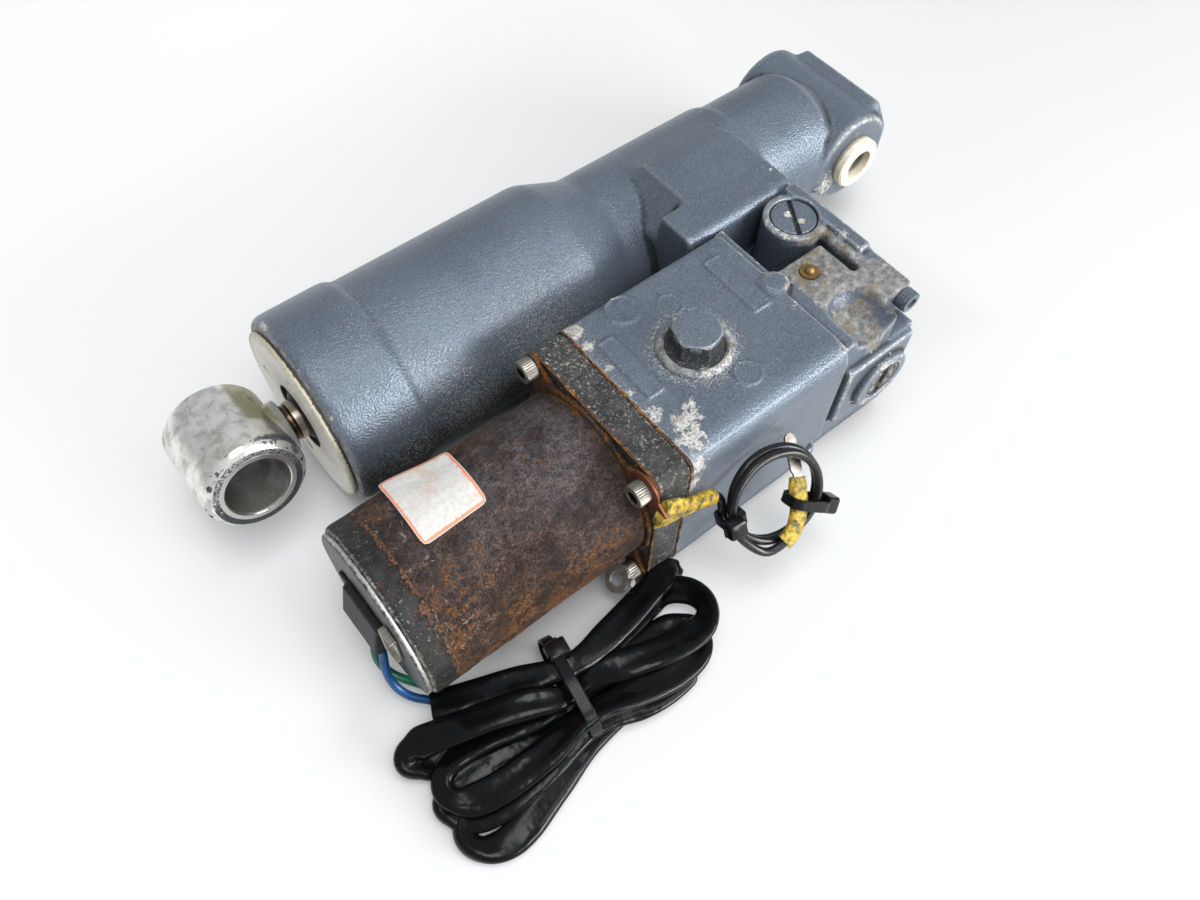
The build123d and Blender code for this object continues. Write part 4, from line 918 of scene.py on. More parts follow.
def build_reservoir():
    o = remeshed("reservoir_skin", ["pump_housing"], 0.62, M_PAINT)
    v, e = verts_of(o), edges_of(o)
    x, y, z = v.T
    w = 0.1 + 0.9 * sstep(x, 97.6, 99.5)
    w *= 1 - 0.85 * (np.hypot(x - 134, y - MY) < 11.5) * (z > 36)
    w *= 1 - 0.8 * (np.hypot(x - 217.9, y + 68.6) < 12.2) * (z > 34)
    w *= 1 - 0.85 * (np.hypot(x - 212.6, z) < 12.2) * (y < -136)
    w *= 1 - 0.9 * sstep(y, -56, -54.6)
    v = relax(v, e, 12, w)
    set_verts(o, v)
    n = normals_of(o)
    cur = curvature(v, e, n)
    x, y, z = v.T
    edge = blur(np.clip(cur / 0.07, 0, 1), e, 2, len(v))
    # grime and painted shade in the concave hollows
    dirt = blur(np.clip(-cur / 0.07, 0, 1), e, 6, len(v))
    deck = sstep(x, 185, 190) * sstep(z, 20, 36)
    bare = 0.60 * sstep(x, 187, 193) * sstep(z, 30, 37) * sstep(-y, 74, 82)
    bare *= 1 - 0.6 * sstep(x, 224, 228) * sstep(y, -112, -100)
    pocket = (x > 187) * (x < 224) * (y > -88) * (y < -52) * (z < 37)
    dirt = np.maximum(dirt, 0.55 * pocket * (np.hypot(x - 217.9, y + 68.6) > 14.6))
    # darker towards the bottom
    dirt = np.maximum(dirt, 0.5 * sstep(-z, 24, 40))
    scoop = spots(v, [(203.5, -122, 32, 13, 0.85), (205, -131, 26, 10, 0.75)])
    bare = np.maximum(bare, scoop)
    wear = spots(v, [(101, -60, 41, 6.5, 0.95), (100, -70, 41, 5, 0.8), (99.5, -83, 41, 4, 0.7), (99, -97, 41, 4, 0.7), (100, -110, 41, 6, 0.85),
                     (108, -121, 40, 8, 0.98), (104, -127, 38, 9, 1.0), (114, -117, 41, 6, 0.8), (101, -133, 34, 8, 0.95), (99, -136, 26, 7, 0.9),
                     (136, -110, 41, 8, 0.62), (150, -101, 41, 6, 0.5), (158, -80, 41, 5, 0.45), (186, -84, 40, 7, 0.75), (195, -104, 38, 7, 0.85), (182, -106, 41, 5, 0.55),
                     (217, -82, 38, 8, 0.7), (226, -90, 38, 9, 0.7), (230, -110, 37, 9, 0.6), (212, -140.5, 10, 9, 0.8), (224, -137, -6, 9, 0.7),
                     (202, -141, -9, 8, 0.7), (232, -60, 38, 5, 0.5), (218, -56, 39, 5, 0.5), (204, -70, 39, 5, 0.5)])
    wear = np.maximum(wear, 0.42 * (1 - sstep(np.abs(np.hypot(x - 134, y - MY) - 16.5), 1.0, 3.5)) * (z > 38))
    wear = np.maximum(wear, 0.62 * (1 - sstep(np.abs(np.hypot(x - 134, y - MY) - 13.6), 0.4, 1.4)) * (z > 38))
    salt = np.maximum(0.08, 0.95 * (1 - sstep(np.hypot(x - 134, y - MY), 15, 25)) * (z > 30))
    salt = np.maximum(salt, 0.45 * sstep(-x, -112, -100))
    # raised outlines and casting marks on the top
    up = sstep(n[:, 2], 0.75, 0.95)
    h = 0.6 * frame_line(x, y, 103.5, 111.0, -104, -72)
    h = np.maximum(h, 0.6 * frame_line(x, y, 166.0, 174.5, -98, -66))
    h = np.maximum(h, 0.40 * (1 - sstep(np.abs(np.hypot(x - 123.0, y + 63.7) - 7.0), 0.3, 0.9)))
    h = np.maximum(h, 0.40 * (1 - sstep(np.abs(np.hypot(x - 142.2, y + 118.6) - 5.6), 0.3, 0.9)))
    h = np.maximum(h, 0.35 * (1 - sstep(np.abs(np.hypot(x - 140.5, y + 73.5) - 5.4), 0.3, 0.9)))
    h = h * up * (z > 38)
    rough_cast = 0.04 * fbm(v, 0.35, 3, seed=9)
    crust = np.clip(np.maximum(wear, bare) - 0.3, 0, 1) * 0.34 * fbm(v, 0.55, 4, gain=0.6, seed=21)
    crust += deck * 0.10 * fbm(v, 0.3, 3, seed=2)
    keep = sstep(x, 97.4, 98.2)
    set_verts(o, v + n * ((h + rough_cast + crust) * keep)[:, None])
    for k, a in (("wear", wear), ("bare", bare), ("edge", edge), ("dirt", dirt), ("salt", salt)):
        put_attr(o, k, a)
    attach(o, "housing")
    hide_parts("pump_housing")
    return o


build_cylinder()
build_reservoir()


# ================================================================ motor
def build_motor():
    nx, na = 190, 520
    xs = np.linspace(-10.0, 79.1, nx)
    ang = np.arange(na) * 2 * pi / na
    X, A = np.meshgrid(xs, ang, indexing="ij")
    p = np.stack([X.ravel(), MY + 38 * np.cos(A).ravel(), 38 * np.sin(A).ravel()], 1)
    d = 0.36 * fbm(p, 0.07, 4, seed=3) + 0.42 * fbm(p, 0.30, 4, gain=0.68, seed=8)
    pit = np.clip(fbm(p, 0.5, 3, seed=31) - 0.28, 0, 1)
    d -= 1.1 * pit
    xx = p[:, 0]
    d += 0.55 * sstep(xx, 70, 78) * (0.6 + 0.8 * fbm(p, 0.12, 3, seed=12))
    d += 0.10 * sstep(-xx, -2, 9)
    fade = sstep(xx, -10, -8.6) * sstep(-xx, -79.1, -78.2)
    R = 38.0 + d * fade
    outer = np.stack([xx, MY + R * np.cos(A).ravel(), R * np.sin(A).ravel()], 1)
    xin = [79.1, -10.0]
    inner = np.array([[xi, MY + 35.5 * cos(a), 35.5 * sin(a)] for xi in xin for a in ang])
    verts = np.vstack([outer, inner])
    faces = []
    for i in range(nx - 1):
        for j in range(na):
            k = (j + 1) % na
            faces.append((i * na + j, (i + 1) * na + j, (i + 1) * na + k, i * na + k))
    b0, b1 = nx * na, (nx + 1) * na
    last = (nx - 1) * na
    for j in range(na):
        k = (j + 1) % na
        faces.append((last + j, b0 + j, b0 + k, last + k))
        faces.append((b0 + j, b1 + j, b1 + k, b0 + k))
        faces.append((b1 + j, j, k, b1 + k))
    o = new_mesh("motor_case", verts, faces, M_RUST, crease=40)
    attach(o, "housing")
    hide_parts("motor_tube")


def build_end_cap():
    """black end cap: worn band, bright rim"""
    prof = [(-22.0, 4.6), (-22.0, 33.0), (-22.0, 36.0), (-21.6, 37.0), (-20.9, 37.7), (-20.0, 38.0)]
    prof += [(-20.0 + 10.0 * k / 9.0, 38.05) for k in range(1, 9)]
    prof += [(-10.4, 38.1), (-10.05, 37.8), (-10.05, 35.45), (-5, 35.45), (-5, 33), (-18.5, 33), (-18.5, 14), (-10.5, 14), (-10.5, 11.05), (-17.5, 11.05), (-17.5, 4.6)]
    verts, faces = lathe_x(prof, 360, MY)
    v = np.array(verts)
    rr = np.hypot(v[:, 1] - MY, v[:, 2])
    a = np.stack([np.zeros(len(v)), (v[:, 1] - MY) / np.maximum(rr, 1e-6), v[:, 2] / np.maximum(rr, 1e-6)], 1)
    band = (rr > 37.5) * sstep(v[:, 0], -21.5, -20)
    d = band * (0.16 * fbm(v, 0.35, 4, gain=0.6, seed=5) - 0.35 * np.clip(fbm(v, 0.3, 3, seed=15) - 0.3, 0, 1))
    v = v + a * d[:, None]
    o = new_mesh("end_cap", v, faces, M_CAPB, crease=35)
    vv = verts_of(o)
    rr = np.hypot(vv[:, 1] - MY, vv[:, 2])
    edge = (rr > 35.5) * sstep(-vv[:, 0], 20.2, 21.6)
    put_attr(o, "edge", edge * 0.9)
    put_attr(o, "wear", 0.55 * (rr > 37.0) * (0.5 + 0.5 * fbm(vv, 0.05, 2, seed=3)))
    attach(o, "housing")
    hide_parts("motor_end_cap")
    # end plate with a rolled bright rim
    prof = [(-24.4, 0.001), (-24.4, 20), (-24.4, 30), (-24.4, 34.0), (-24.25, 35.0), (-23.9, 35.9), (-23.3, 36.4), (-22.6, 36.3), (-22.08, 35.8), (-22.08, 20), (-22.08, 0.001)]
    verts, faces = lathe_x(prof, 240, MY)
    v = np.array(verts)
    v[:, 0] += 0.12 * fbm(v, 0.12, 3, seed=4) * (v[:, 0] < -23.5)
    o = new_mesh("end_plate", v, faces, M_PLATE, crease=30)
    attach(o, "housing")
    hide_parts("motor_end_plate")


def rounded_rect(half, r, seg, cy=MY, cz=0.0):
    pts = []
    for q, (sy, sz) in enumerate(((1, 1), (-1, 1), (-1, -1), (1, -1))):
        a0 = q * pi / 2
        for k in range(seg + 1):
            a = a0 + k * pi / 2 / seg
            pts.append((cy + sy * (half - r) + r * cos(a), cz + sz * (half - r) + r * sin(a)))
    return pts


def build_flange():
    o = remeshed("flange_skin", ["motor_flange"], 0.7, M_FLANGE)
    v, e = verts_of(o), edges_of(o)
    w = 1 - 0.9 * (np.abs(v[:, 1] - MY) < 39) * (np.abs(v[:, 2]) < 39)
    v = relax(v, e, 5, w)
    set_verts(o, v)
    n = normals_of(o)
    cur = curvature(v, e, n)
    edge = blur(np.clip(cur / 0.08, 0, 1), e, 2, len(v))
    outer = sstep(np.maximum(np.abs(v[:, 1] - MY), np.abs(v[:, 2])), 39, 40.5)
    set_verts(o, v + n * (outer * (0.14 * fbm(v, 0.22, 4, gain=0.6, seed=6)))[:, None])
    put_attr(o, "edge", edge * 0.5)
    put_attr(o, "wear", 0.33 + 0.14 * fbm(v, 0.09, 2, seed=13))
    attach(o, "housing")
    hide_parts("motor_flange")


def bead(name, x0, x1, half, r, amp, mat, seed, inner=None):
    """irregular bead of rust along a joint that follows the flange outline"""
    loop = []
    base = rounded_rect(half, r, 10)
    # even spacing
    pts = np.array(base + [base[0]])
    seg = np.hypot(*(pts[1:] - pts[:-1]).T)
    s = np.concatenate([[0], np.cumsum(seg)])
    m = 420
    t = np.linspace(0, s[-1], m, endpoint=False)
    yy = np.interp(t, s, pts[:, 0])
    zz = np.interp(t, s, pts[:, 1])
    c = np.stack([yy - MY, zz], 1)
    nrm = np.roll(c, -1, 0) - np.roll(c, 1, 0)
    nrm = np.stack([nrm[:, 1], -nrm[:, 0]], 1)
    nrm /= np.linalg.norm(nrm, axis=1)[:, None]
    k = 10
    verts = []
    xm, hw = (x0 + x1) / 2, (x1 - x0) / 2
    for i in range(m):
        p = np.array([[xm, yy[i], zz[i]]])
        g = 0.8 + 1.7 * float(fbm(p, 0.35, 4, gain=0.65, seed=seed)[0])
        g2 = float(fbm(p, 0.22, 3, seed=seed + 5)[0])
        out = max(amp * g, 0.03)
        wd = hw * (1 + 0.8 * g2)
        for j in range(k):
            a = pi * j / (k - 1)
            rad = out * sin(a)
            verts.append((xm + wd * cos(a) + 0.25 * g2, yy[i] + nrm[i, 0] * rad, zz[i] + nrm[i, 1] * rad))
        verts.append((xm, yy[i] - nrm[i, 0] * 1.2, zz[i] - nrm[i, 1] * 1.2))
    kk = k + 1
    faces = []
    for i in range(m):
        for j in range(kk):
            a, b = i * kk + j, i * kk + (j + 1) % kk
            c2, d = ((i + 1) % m) * kk + (j + 1) % kk, ((i + 1) % m) * kk + j
            faces.append((a, b, c2, d))
    o = new_mesh(name, verts, faces, mat)
    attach(o, "housing")
    return o


def build_plates():
    o = remeshed("case_plate", ["motor_plate"], 0.55, M_RUST)
    v, e = verts_of(o), edges_of(o)
    r = np.hypot(v[:, 1] - MY, v[:, 2])
    v = relax(v, e, 2)
    set_verts(o, v)
    n = normals_of(o)
    free = sstep(r, 37, 39)
    set_verts(o, v + n * (free * 0.45 * fbm(v, 0.30, 4, gain=0.6, seed=14))[:, None])
    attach(o, "housing")
    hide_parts("motor_plate")
    bead("joint_rust", 96.2, 97.5, 41.0, 5, 0.42, M_BEAD, 40)
    bead("joint_rust_front", 81.0, 82.2, 40.6, 6, 0.40, M_BEAD, 60)


build_motor()
build_end_cap()
build_flange()
build_plates()


# ================================================================ screws
def socket_head(name, centre, axis, r, h, hexr, depth, mat, knurl=0.34, chamfer=0.5, shank=None):
    """knurled socket head; centre is the middle of the top face, axis points out of it"""
    ax = Vector(axis).normalized()
    u = ax.orthogonal().normalized()
    w = ax.cross(u)
    c = Vector(centre)
    teeth, per = 30, 8
    m = teeth * per
    rings = []

    def ring(rad, depth_, kn=0.0, hexa=False):
        out = []
        for i in range(m):
            a = 2 * pi * i / m
            rr = rad
            if hexa:
                t = (a % (pi / 3)) - pi / 6
                rr = rad / cos(t)
            elif kn:
                rr = rad - kn * (0.5 + 0.5 * cos(a * teeth)) ** 0.7
            q = c + (u * cos(a) + w * sin(a)) * rr - ax * depth_
            out.append(tuple(q))
        rings.append(out)
    ring(0.15, depth + 0.5)
    ring(hexr * 0.86, depth, hexa=True)
    ring(hexr, depth - 0.25, hexa=True)
    ring(hexr, 0.35, hexa=True)
    ring(hexr + 0.35, 0.02)
    ring(r - chamfer - 0.3, 0.0)
    ring(r - chamfer * 0.4, chamfer * 0.25)
    ring(r - 0.02, chamfer)
    ring(r, chamfer + 0.2, knurl)
    ring(r, h - 0.5, knurl)
    ring(r - 0.15, h - 0.2)
    ring(r - 0.4, h)
    if shank:
        ring(shank[0], h)
        ring(shank[0], h + shank[1])
    ring(0.15, h + (shank[1] if shank else 0.0))
    verts = [p for rg in rings for p in rg]
    faces = []
    for i in range(len(rings) - 1):
        for j in range(m):
            k = (j + 1) % m
            faces.append((i * m + j, (i + 1) * m + j, (i + 1) * m + k, i * m + k))
    faces.append(tuple(range(m)))
    faces.append(tuple(len(rings) * m - 1 - j for j in range(m)))
    o = new_mesh(name, verts, faces, mat, crease=38)
    # painted shade with grime inside the socket
    grime_and_shade = np.zeros(len(verts))
    grime_and_shade[:4 * m] = 1.0
    put_attr(o, "dirt", grime_and_shade)
    return o


def build_screws():
    made = []
    for sy in (1, -1):
        for sz in (1, -1):
            off = -1.1 if (sy < 0 and sz > 0) else 0.0
            made.append(socket_head("flange_screw_%d" % len(made), (73.2 + off, MY + sy * 35.3, sz * 35.5), (-1, 0, 0), 5.0, 6.0, 2.5, 3.2, M_SCREW, shank=(3.0, 33.5)))
    for o in made:
        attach(o, "housing")
    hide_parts("flange_screws")
    made = []
    for bx, bz in ((228.8, 32), (228.8, -28), (180, -28)):
        made.append(socket_head("manifold_bolt_%d" % len(made), (bx, -131.4, bz), (0, -1, 0), 5.0, 5.85, 2.5, 3.2, M_PAINT if bz > 0 else M_SCREW, knurl=0.2, shank=(3.0, 87.0)))
    for o in made:
        v = verts_of(o)
        for k, a in (("wear", 0.35), ("bare", 0.0), ("edge", 0.1), ("dirt", 0.1), ("salt", 0.4)):
            put_attr(o, k, np.full(len(v), a))
        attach(o, "housing")
    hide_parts("manifold_bolts")


build_screws()


# ================================================================ plugs
def radial_solid(name, cx, cy, rings, seg, mat, crease=35):
    """rings: list of (function of angle -> radius, z or function)"""
    verts = []
    for fr, fz in rings:
        for j in range(seg):
            a = 2 * pi * j / seg
            rr = fr(a) if callable(fr) else fr
            zz = fz(a, rr) if callable(fz) else fz
            verts.append((cx + rr * cos(a), cy + rr * sin(a), zz))
    faces = []
    for i in range(len(rings) - 1):
        for j in range(seg):
            k = (j + 1) % seg
            faces.append((i * seg + j, (i + 1) * seg + j, (i + 1) * seg + k, i * seg + k))
    faces.append(tuple(range(seg)))
    faces.append(tuple(len(rings) * seg - 1 - j for j in range(seg)))
    return new_mesh(name, verts, faces, mat, crease=crease)


def paint_attrs(o, wear=0.2, bare=0.0, edge=0.3, dirt=0.05, salt=0.3, fn=None):
    v = verts_of(o)
    d = {"wear": np.full(len(v), wear), "bare": np.full(len(v), bare), "edge": np.full(len(v), edge), "dirt": np.full(len(v), dirt), "salt": np.full(len(v), salt)}
    if fn:
        d.update(fn(v))
    for k, a in d.items():
        put_attr(o, k, a)


def build_fill_plug():
    ap = 9.5
    rot = radians(15)

    def hexr(a, s=1.0):
        t = ((a - rot) % (pi / 3)) - pi / 6
        return ap * s / cos(t)
    top = 53.0

    def ztop(a, rr):
        return top - max(0.0, (rr - 9.1)) * 0.75
    rings = [(0.2, top), (6.0, top), (8.8, top), (lambda a: min(hexr(a), 9.15), lambda a, rr: ztop(a, rr)),
             (lambda a: min(hexr(a, 0.995), 9.9), lambda a, rr: ztop(a, rr)), (lambda a: hexr(a, 0.995), lambda a, rr: ztop(a, rr)),
             (lambda a: hexr(a), lambda a, rr: ztop(a, rr) - 0.5), (lambda a: hexr(a), 48.0), (lambda a: hexr(a), 43.8), (lambda a: hexr(a, 1.02), 43.35),
             (11.6, 43.2), (12.1, 43.0), (12.2, 42.6), (12.2, 41.6), (9.0, 41.6), (9.0, 33.0), (0.2, 33.0)]
    o = radial_solid("filler_plug", 134.0, MY, rings, 360, M_PAINT, crease=28)

    def fn(v):
        r = np.hypot(v[:, 0] - 134, v[:, 1] - MY)
        e = np.zeros(len(v))
        e = np.maximum(e, 0.8 * sstep(r, 8.6, 9.4) * (v[:, 2] > 51))
        e = np.maximum(e, 0.9 * (v[:, 2] < 43.1))
        return {"edge": e, "wear": 0.25 * (v[:, 2] > 51) + 0.5 * (v[:, 2] < 43.1), "dirt": 1.0 * (v[:, 2] < 52.0)}
    paint_attrs(o, fn=fn)
    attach(o, "fill_plug")
    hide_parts("fill_plug")
    # worn sealing ring round its foot
    prof = [(40.7, 12.3), (42.6, 12.35), (43.3, 12.9), (43.7, 13.8), (43.6, 14.8), (43.1, 15.7), (42.3, 16.3), (41.4, 16.4), (40.7, 16.2)]
    verts = []
    seg, k = 240, len(prof)
    for i in range(seg):
        a = 2 * pi * i / seg
        for zz, rr in prof:
            g = 0.22 * float(vnoise(np.array([[8 * cos(a), 8 * sin(a), zz]]), 0.5, 3)[0])
            verts.append((134.0 + (rr + g) * cos(a), MY + (rr + g) * sin(a), zz + (g * 0.5 if zz > 42 else 0)))
    faces = [(i * k + j, i * k + (j + 1) % k, ((i + 1) % seg) * k + (j + 1) % k, ((i + 1) % seg) * k + j) for i in range(seg) for j in range(k)]
    o = new_mesh("filler_ring", verts, faces, M_PAINT, crease=50)

    def fr(v):
        t = np.arctan2(v[:, 1] - MY, v[:, 0] - 134)
        return {"wear": 0.60 + 0.10 * np.cos(t + 1.2) + 0.10 * (v[:, 2] > 43.0), "bare": 0.52 + 0.12 * np.cos(2 * t), "edge": np.zeros(len(v)), "dirt": 0.5 * (v[:, 2] < 42)}
    paint_attrs(o, fn=fr)
    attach(o, "fill_plug")
    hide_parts("fill_plug_seal")


def slotted(name, centre, normal, r, r_low, h, h_low, slot_w, slot_d, slot_deg, mat, seg_grid=0.35):
    """round head with a cut slot: height field disc with side walls"""
    n = Vector(normal).normalized()
    u = n.orthogonal().normalized()
    w = n.cross(u)
    c = Vector(centre)
    nr, na = 34, 180
    sd = (cos(radians(slot_deg)), sin(radians(slot_deg)))
    verts = []
    for i in range(nr + 1):
        rr = 0.05 + (r - 0.05) * i / nr
        for j in range(na):
            a = 2 * pi * j / na
            px, py = rr * cos(a), rr * sin(a)
            across = abs(-px * sd[1] + py * sd[0])
            z = -slot_d * (1 - float(sstep(np.array(across), slot_w / 2 - 0.22, slot_w / 2 + 0.22)))
            if rr > r - 0.6:
                z -= 0.35 * ((rr - (r - 0.6)) / 0.6) ** 2
            verts.append(tuple(c + u * px + w * py + n * z))
    rows = nr + 1
    for rad, dz in ((r, -0.8), (r, -h), (r_low, -h), (r_low, -h_low), (0.05, -h_low)):
        for j in range(na):
            a = 2 * pi * j / na
            across = abs(-rad * cos(a) * sd[1] + rad * sin(a) * sd[0])
            z = dz
            if rows == nr + 1:
                z = min(dz, -slot_d * (1 - float(sstep(np.array(across), slot_w / 2 - 0.22, slot_w / 2 + 0.22))) - 0.4)
            verts.append(tuple(c + u * rad * cos(a) + w * rad * sin(a) + n * z))
        rows += 1
    faces = []
    for i in range(rows - 1):
        for j in range(na):
            k = (j + 1) % na
            faces.append((i * na + j, (i + 1) * na + j, (i + 1) * na + k, i * na + k))
    faces.append(tuple(range(na)))
    faces.append(tuple(rows * na - 1 - j for j in range(na)))
    return new_mesh(name, verts, faces, mat, crease=40)


def build_small_plugs():
    o = slotted("valve_screw", (217.9, -68.6, 39.8), (0, 0, 1), 10.2, 6.0, 2.65, 22.0, 2.0, 1.7, 0, M_PAINT)
    # turn the slot to the direction seen in the photograph
    v = verts_of(o)
    uu = Vector((0, 0, 1)).orthogonal().normalized()
    base = atan2(uu.y, uu.x)
    ang = radians(-121) - base
    ca, sa = cos(ang), sin(ang)
    dx, dy = v[:, 0] - 217.9, v[:, 1] + 68.6
    v[:, 0], v[:, 1] = 217.9 + dx * ca - dy * sa, -68.6 + dx * sa + dy * ca
    set_verts(o, v)

    def fn(v):
        r = np.hypot(v[:, 0] - 217.9, v[:, 1] + 68.6)
        s = spots(v, [(217.0, -66.0, 39.6, 2.3, 1.4), (218.6, -72.4, 39.6, 2.0, 1.4)])
        return {"wear": s, "edge": 0.55 * sstep(r, 9.5, 10.1), "dirt": 0.8 * (v[:, 2] < 39.2)}
    paint_attrs(o, fn=fn)
    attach(o, "manual_valve")
    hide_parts("manual_valve")
    o = slotted("side_port_plug", (212.6, -140.2, 0.0), (0, -1, 0), 10.4, 10.4, 2.0, 11.0, 4.0, 1.9, 35, M_FLANGE)
    v = verts_of(o)
    r = np.hypot(v[:, 0] - 212.6, v[:, 2])
    put_attr(o, "edge", 1.0 * sstep(r, 8.4, 9.4))
    put_attr(o, "wear", 0.35 + 0.35 * (np.abs(r - 6) < 1.5))
    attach(o, "housing")
    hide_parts("port_plug")


build_fill_plug()
build_small_plugs()


# ================================================================ grommet, clip, label
def build_grommet():
    o = remeshed("lead_block", ["lead_grommet"], 0.45, M_RUBBER)
    v, e = verts_of(o), edges_of(o)
    v = relax(v, e, 8, sstep(-v[:, 0], 24.5, 25.2))
    set_verts(o, v)
    n = normals_of(o)
    set_verts(o, v + n * (0.06 * fbm(v, 0.4, 3, seed=7) * sstep(-v[:, 0], 24.6, 25.4))[:, None])
    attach(o, "housing")
    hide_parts("lead_grommet")
    o = remeshed("terminal_tab", ["terminal_clip"], 0.32, M_CLIP)
    v, e = verts_of(o), edges_of(o)
    v = relax(v, e, 3)
    set_verts(o, v)
    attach(o, "housing")
    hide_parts("terminal_clip")


def build_label():
    """printed sticker, blank, wrapped on the case, one corner lifted"""
    nu, nv = 60, 60
    # corners in (x along the motor, angle from +Y towards +Z)
    c00, c10, c11, c01 = (2.5, 40.0), (31.5, 46.6), (29.0, 97.3), (0.3, 98.9)
    top, bot = [], []
    us, vs, ed = [], [], []
    for i in range(nu + 1):
        for j in range(nv + 1):
            u, v = i / nu, j / nv
            # round the corners by pulling the outline in
            uu, vv = 2 * u - 1, 2 * v - 1
            k = 0.045
            su = uu * (1 - k * max(0.0, abs(vv) - 0.82) ** 2 / 0.0324)
            sv = vv * (1 - k * max(0.0, abs(uu) - 0.82) ** 2 / 0.0324)
            a, b = (su + 1) / 2, (sv + 1) / 2
            x = (1 - a) * (1 - b) * c00[0] + a * (1 - b) * c10[0] + a * b * c11[0] + (1 - a) * b * c01[0]
            t = (1 - a) * (1 - b) * c00[1] + a * (1 - b) * c10[1] + a * b * c11[1] + (1 - a) * b * c01[1]
            p = np.array([[x, t * 0.66, 5.0]])
            lift = 0.10 + 0.10 * float(fbm(p, 0.12, 3, seed=5)[0])
            lift += 2.0 * float(sstep(np.array((1 - a) * 1.0 + (1 - b) * 1.25), 1.25, 2.2)) ** 1.3
            lift += 1.3 * float(sstep(np.array(1 - b), 0.74, 1.0))
            r = 38.38 + max(lift, 0.02)
            ca, sa = cos(radians(t)), sin(radians(t))
            top.append((x, MY + r * ca, r * sa))
            bot.append((x, MY + (r - 0.16) * ca, (r - 0.16) * sa))
            us.append(u)
            vs.append(v)
            ed.append(max(abs(uu), abs(vv)))
    m = nv + 1
    N = (nu + 1) * m
    faces = []
    for i in range(nu):
        for j in range(nv):
            a = i * m + j
            faces.append((a, a + 1, a + m + 1, a + m))
            faces.append((N + a, N + a + m, N + a + m + 1, N + a + 1))
    for i in range(nu):
        a = i * m
        faces.append((a, a + m, N + a + m, N + a))
        a = i * m + nv
        faces.append((a, N + a, N + a + m, a + m))
    for j in range(nv):
        faces.append((j, N + j, N + j + 1, j + 1))
        a = nu * m + j
        faces.append((a, a + 1, N + a + 1, N + a))
    o = new_mesh("case_label", top + bot, faces, M_LABEL, crease=60)
    put_attr(o, "lu", us + us)
    put_attr(o, "lv", vs + vs)
    put_attr(o, "edge", ed + ed)
    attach(o, "housing")
    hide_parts("motor_label")


build_grommet()
build_label()


# ================================================================ routes
def nurbs(name, pts_mm, bevel_mm=None, mat=None, res=12):
    cu = bpy.data.curves.new(name, "CURVE")
    cu.dimensions = "3D"
    sp = cu.splines.new("NURBS")
    sp.points.add(len(pts_mm) - 1)
    for q, p in zip(sp.points, pts_mm):
        v = P(*p)
        q.co = (v.x, v.y, v.z, 1)
    sp.order_u = 3
    sp.use_endpoint_u = True
    sp.resolution_u = res
    cu.resolution_u = res
    if bevel_mm:
        cu.bevel_depth = bevel_mm / 1000.0
        cu.bevel_resolution = 7
        cu.use_fill_caps = True
    if mat:
        cu.materials.append(mat)
    o = bpy.data.objects.new(name, cu)
    bpy.context.scene.collection.objects.link(o)
    return o


def path_of(curve_obj):
    """points of the smooth line of a curve without bevel, in part millimetres"""
    dg = bpy.context.evaluated_depsgraph_get()
    dg.update()
    me = bpy.data.meshes.new_from_object(curve_obj.evaluated_get(dg))
    v = np.empty(len(me.vertices) * 3)
    me.vertices.foreach_get("co", v)
    v = v.reshape(-1, 3) * 1000.0
    v[:, 0] -= X0
    bpy.data.meshes.remove(me)
    return v


def resample(p, step):
    d = np.linalg.norm(np.diff(p, axis=0), axis=1)
    s = np.concatenate([[0], np.cumsum(d)])
    n = max(int(s[-1] / step), 2)
    t = np.linspace(0, s[-1], n)
    return np.stack([np.interp(t, s, p[:, k]) for k in range(3)], 1), t, s[-1]


def sweep(path, ring, ref, caps=True):
    """ring(i, n, b) -> list of 2-D offsets along side and up; ref(i, tangent) -> up vector"""
    n = len(path)
    tan = np.gradient(path, axis=0)
    tan /= np.linalg.norm(tan, axis=1)[:, None]
    verts = []
    k = None
    ups = []
    for i in range(n):
        u = ref(i, tan[i])
        side = np.cross(tan[i], u)
        side /= max(np.linalg.norm(side), 1e-9)
        up = np.cross(side, tan[i])
        ups.append(up)
        pts = ring(i)
        k = len(pts)
        for a, b in pts:
            verts.append(path[i] + side * a + up * b)
    faces = []
    for i in range(n - 1):
        for j in range(k):
            jj = (j + 1) % k
            faces.append((i * k + j, i * k + jj, (i + 1) * k + jj, (i + 1) * k + j))
    if caps:
        faces.append(tuple(range(k - 1, -1, -1)))
        faces.append(tuple((n - 1) * k + j for j in range(k)))
    return np.array(verts), faces


# ---------------------------------------------------------------- motor leads
green_pts = [(-28.4, -98.5, -13.05), (-28.4, -98.5, -16.5), (-30.6, -101.0, -22), (-30.6, -103.2, -28.5), (-28.4, -108.0, -34.5),
             (-22.3, -114.8, -39.5), (-16.3, -122.6, -41.0), (-10.6, -126.6, -40.2), (-6.5, -130.1, -39.5)]
blue_pts = [(-28.1, -104.0, -13.05), (-28.1, -104.0, -16.5), (-30.2, -107.3, -22), (-31.0, -109.6, -28), (-30.4, -114.0, -33.5),
            (-27.4, -119.3, -37.0), (-22.3, -124.4, -37.6), (-17.5, -129.9, -37.2)]
lead_green = nurbs("lead_green_wire", green_pts, 1.8, M_GREEN)
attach(lead_green, "housing")
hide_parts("lead_green")
lead_blue = nurbs("lead_blue_wire", blue_pts, 1.8, M_BLUE)
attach(lead_blue, "housing")
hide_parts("lead_blue")

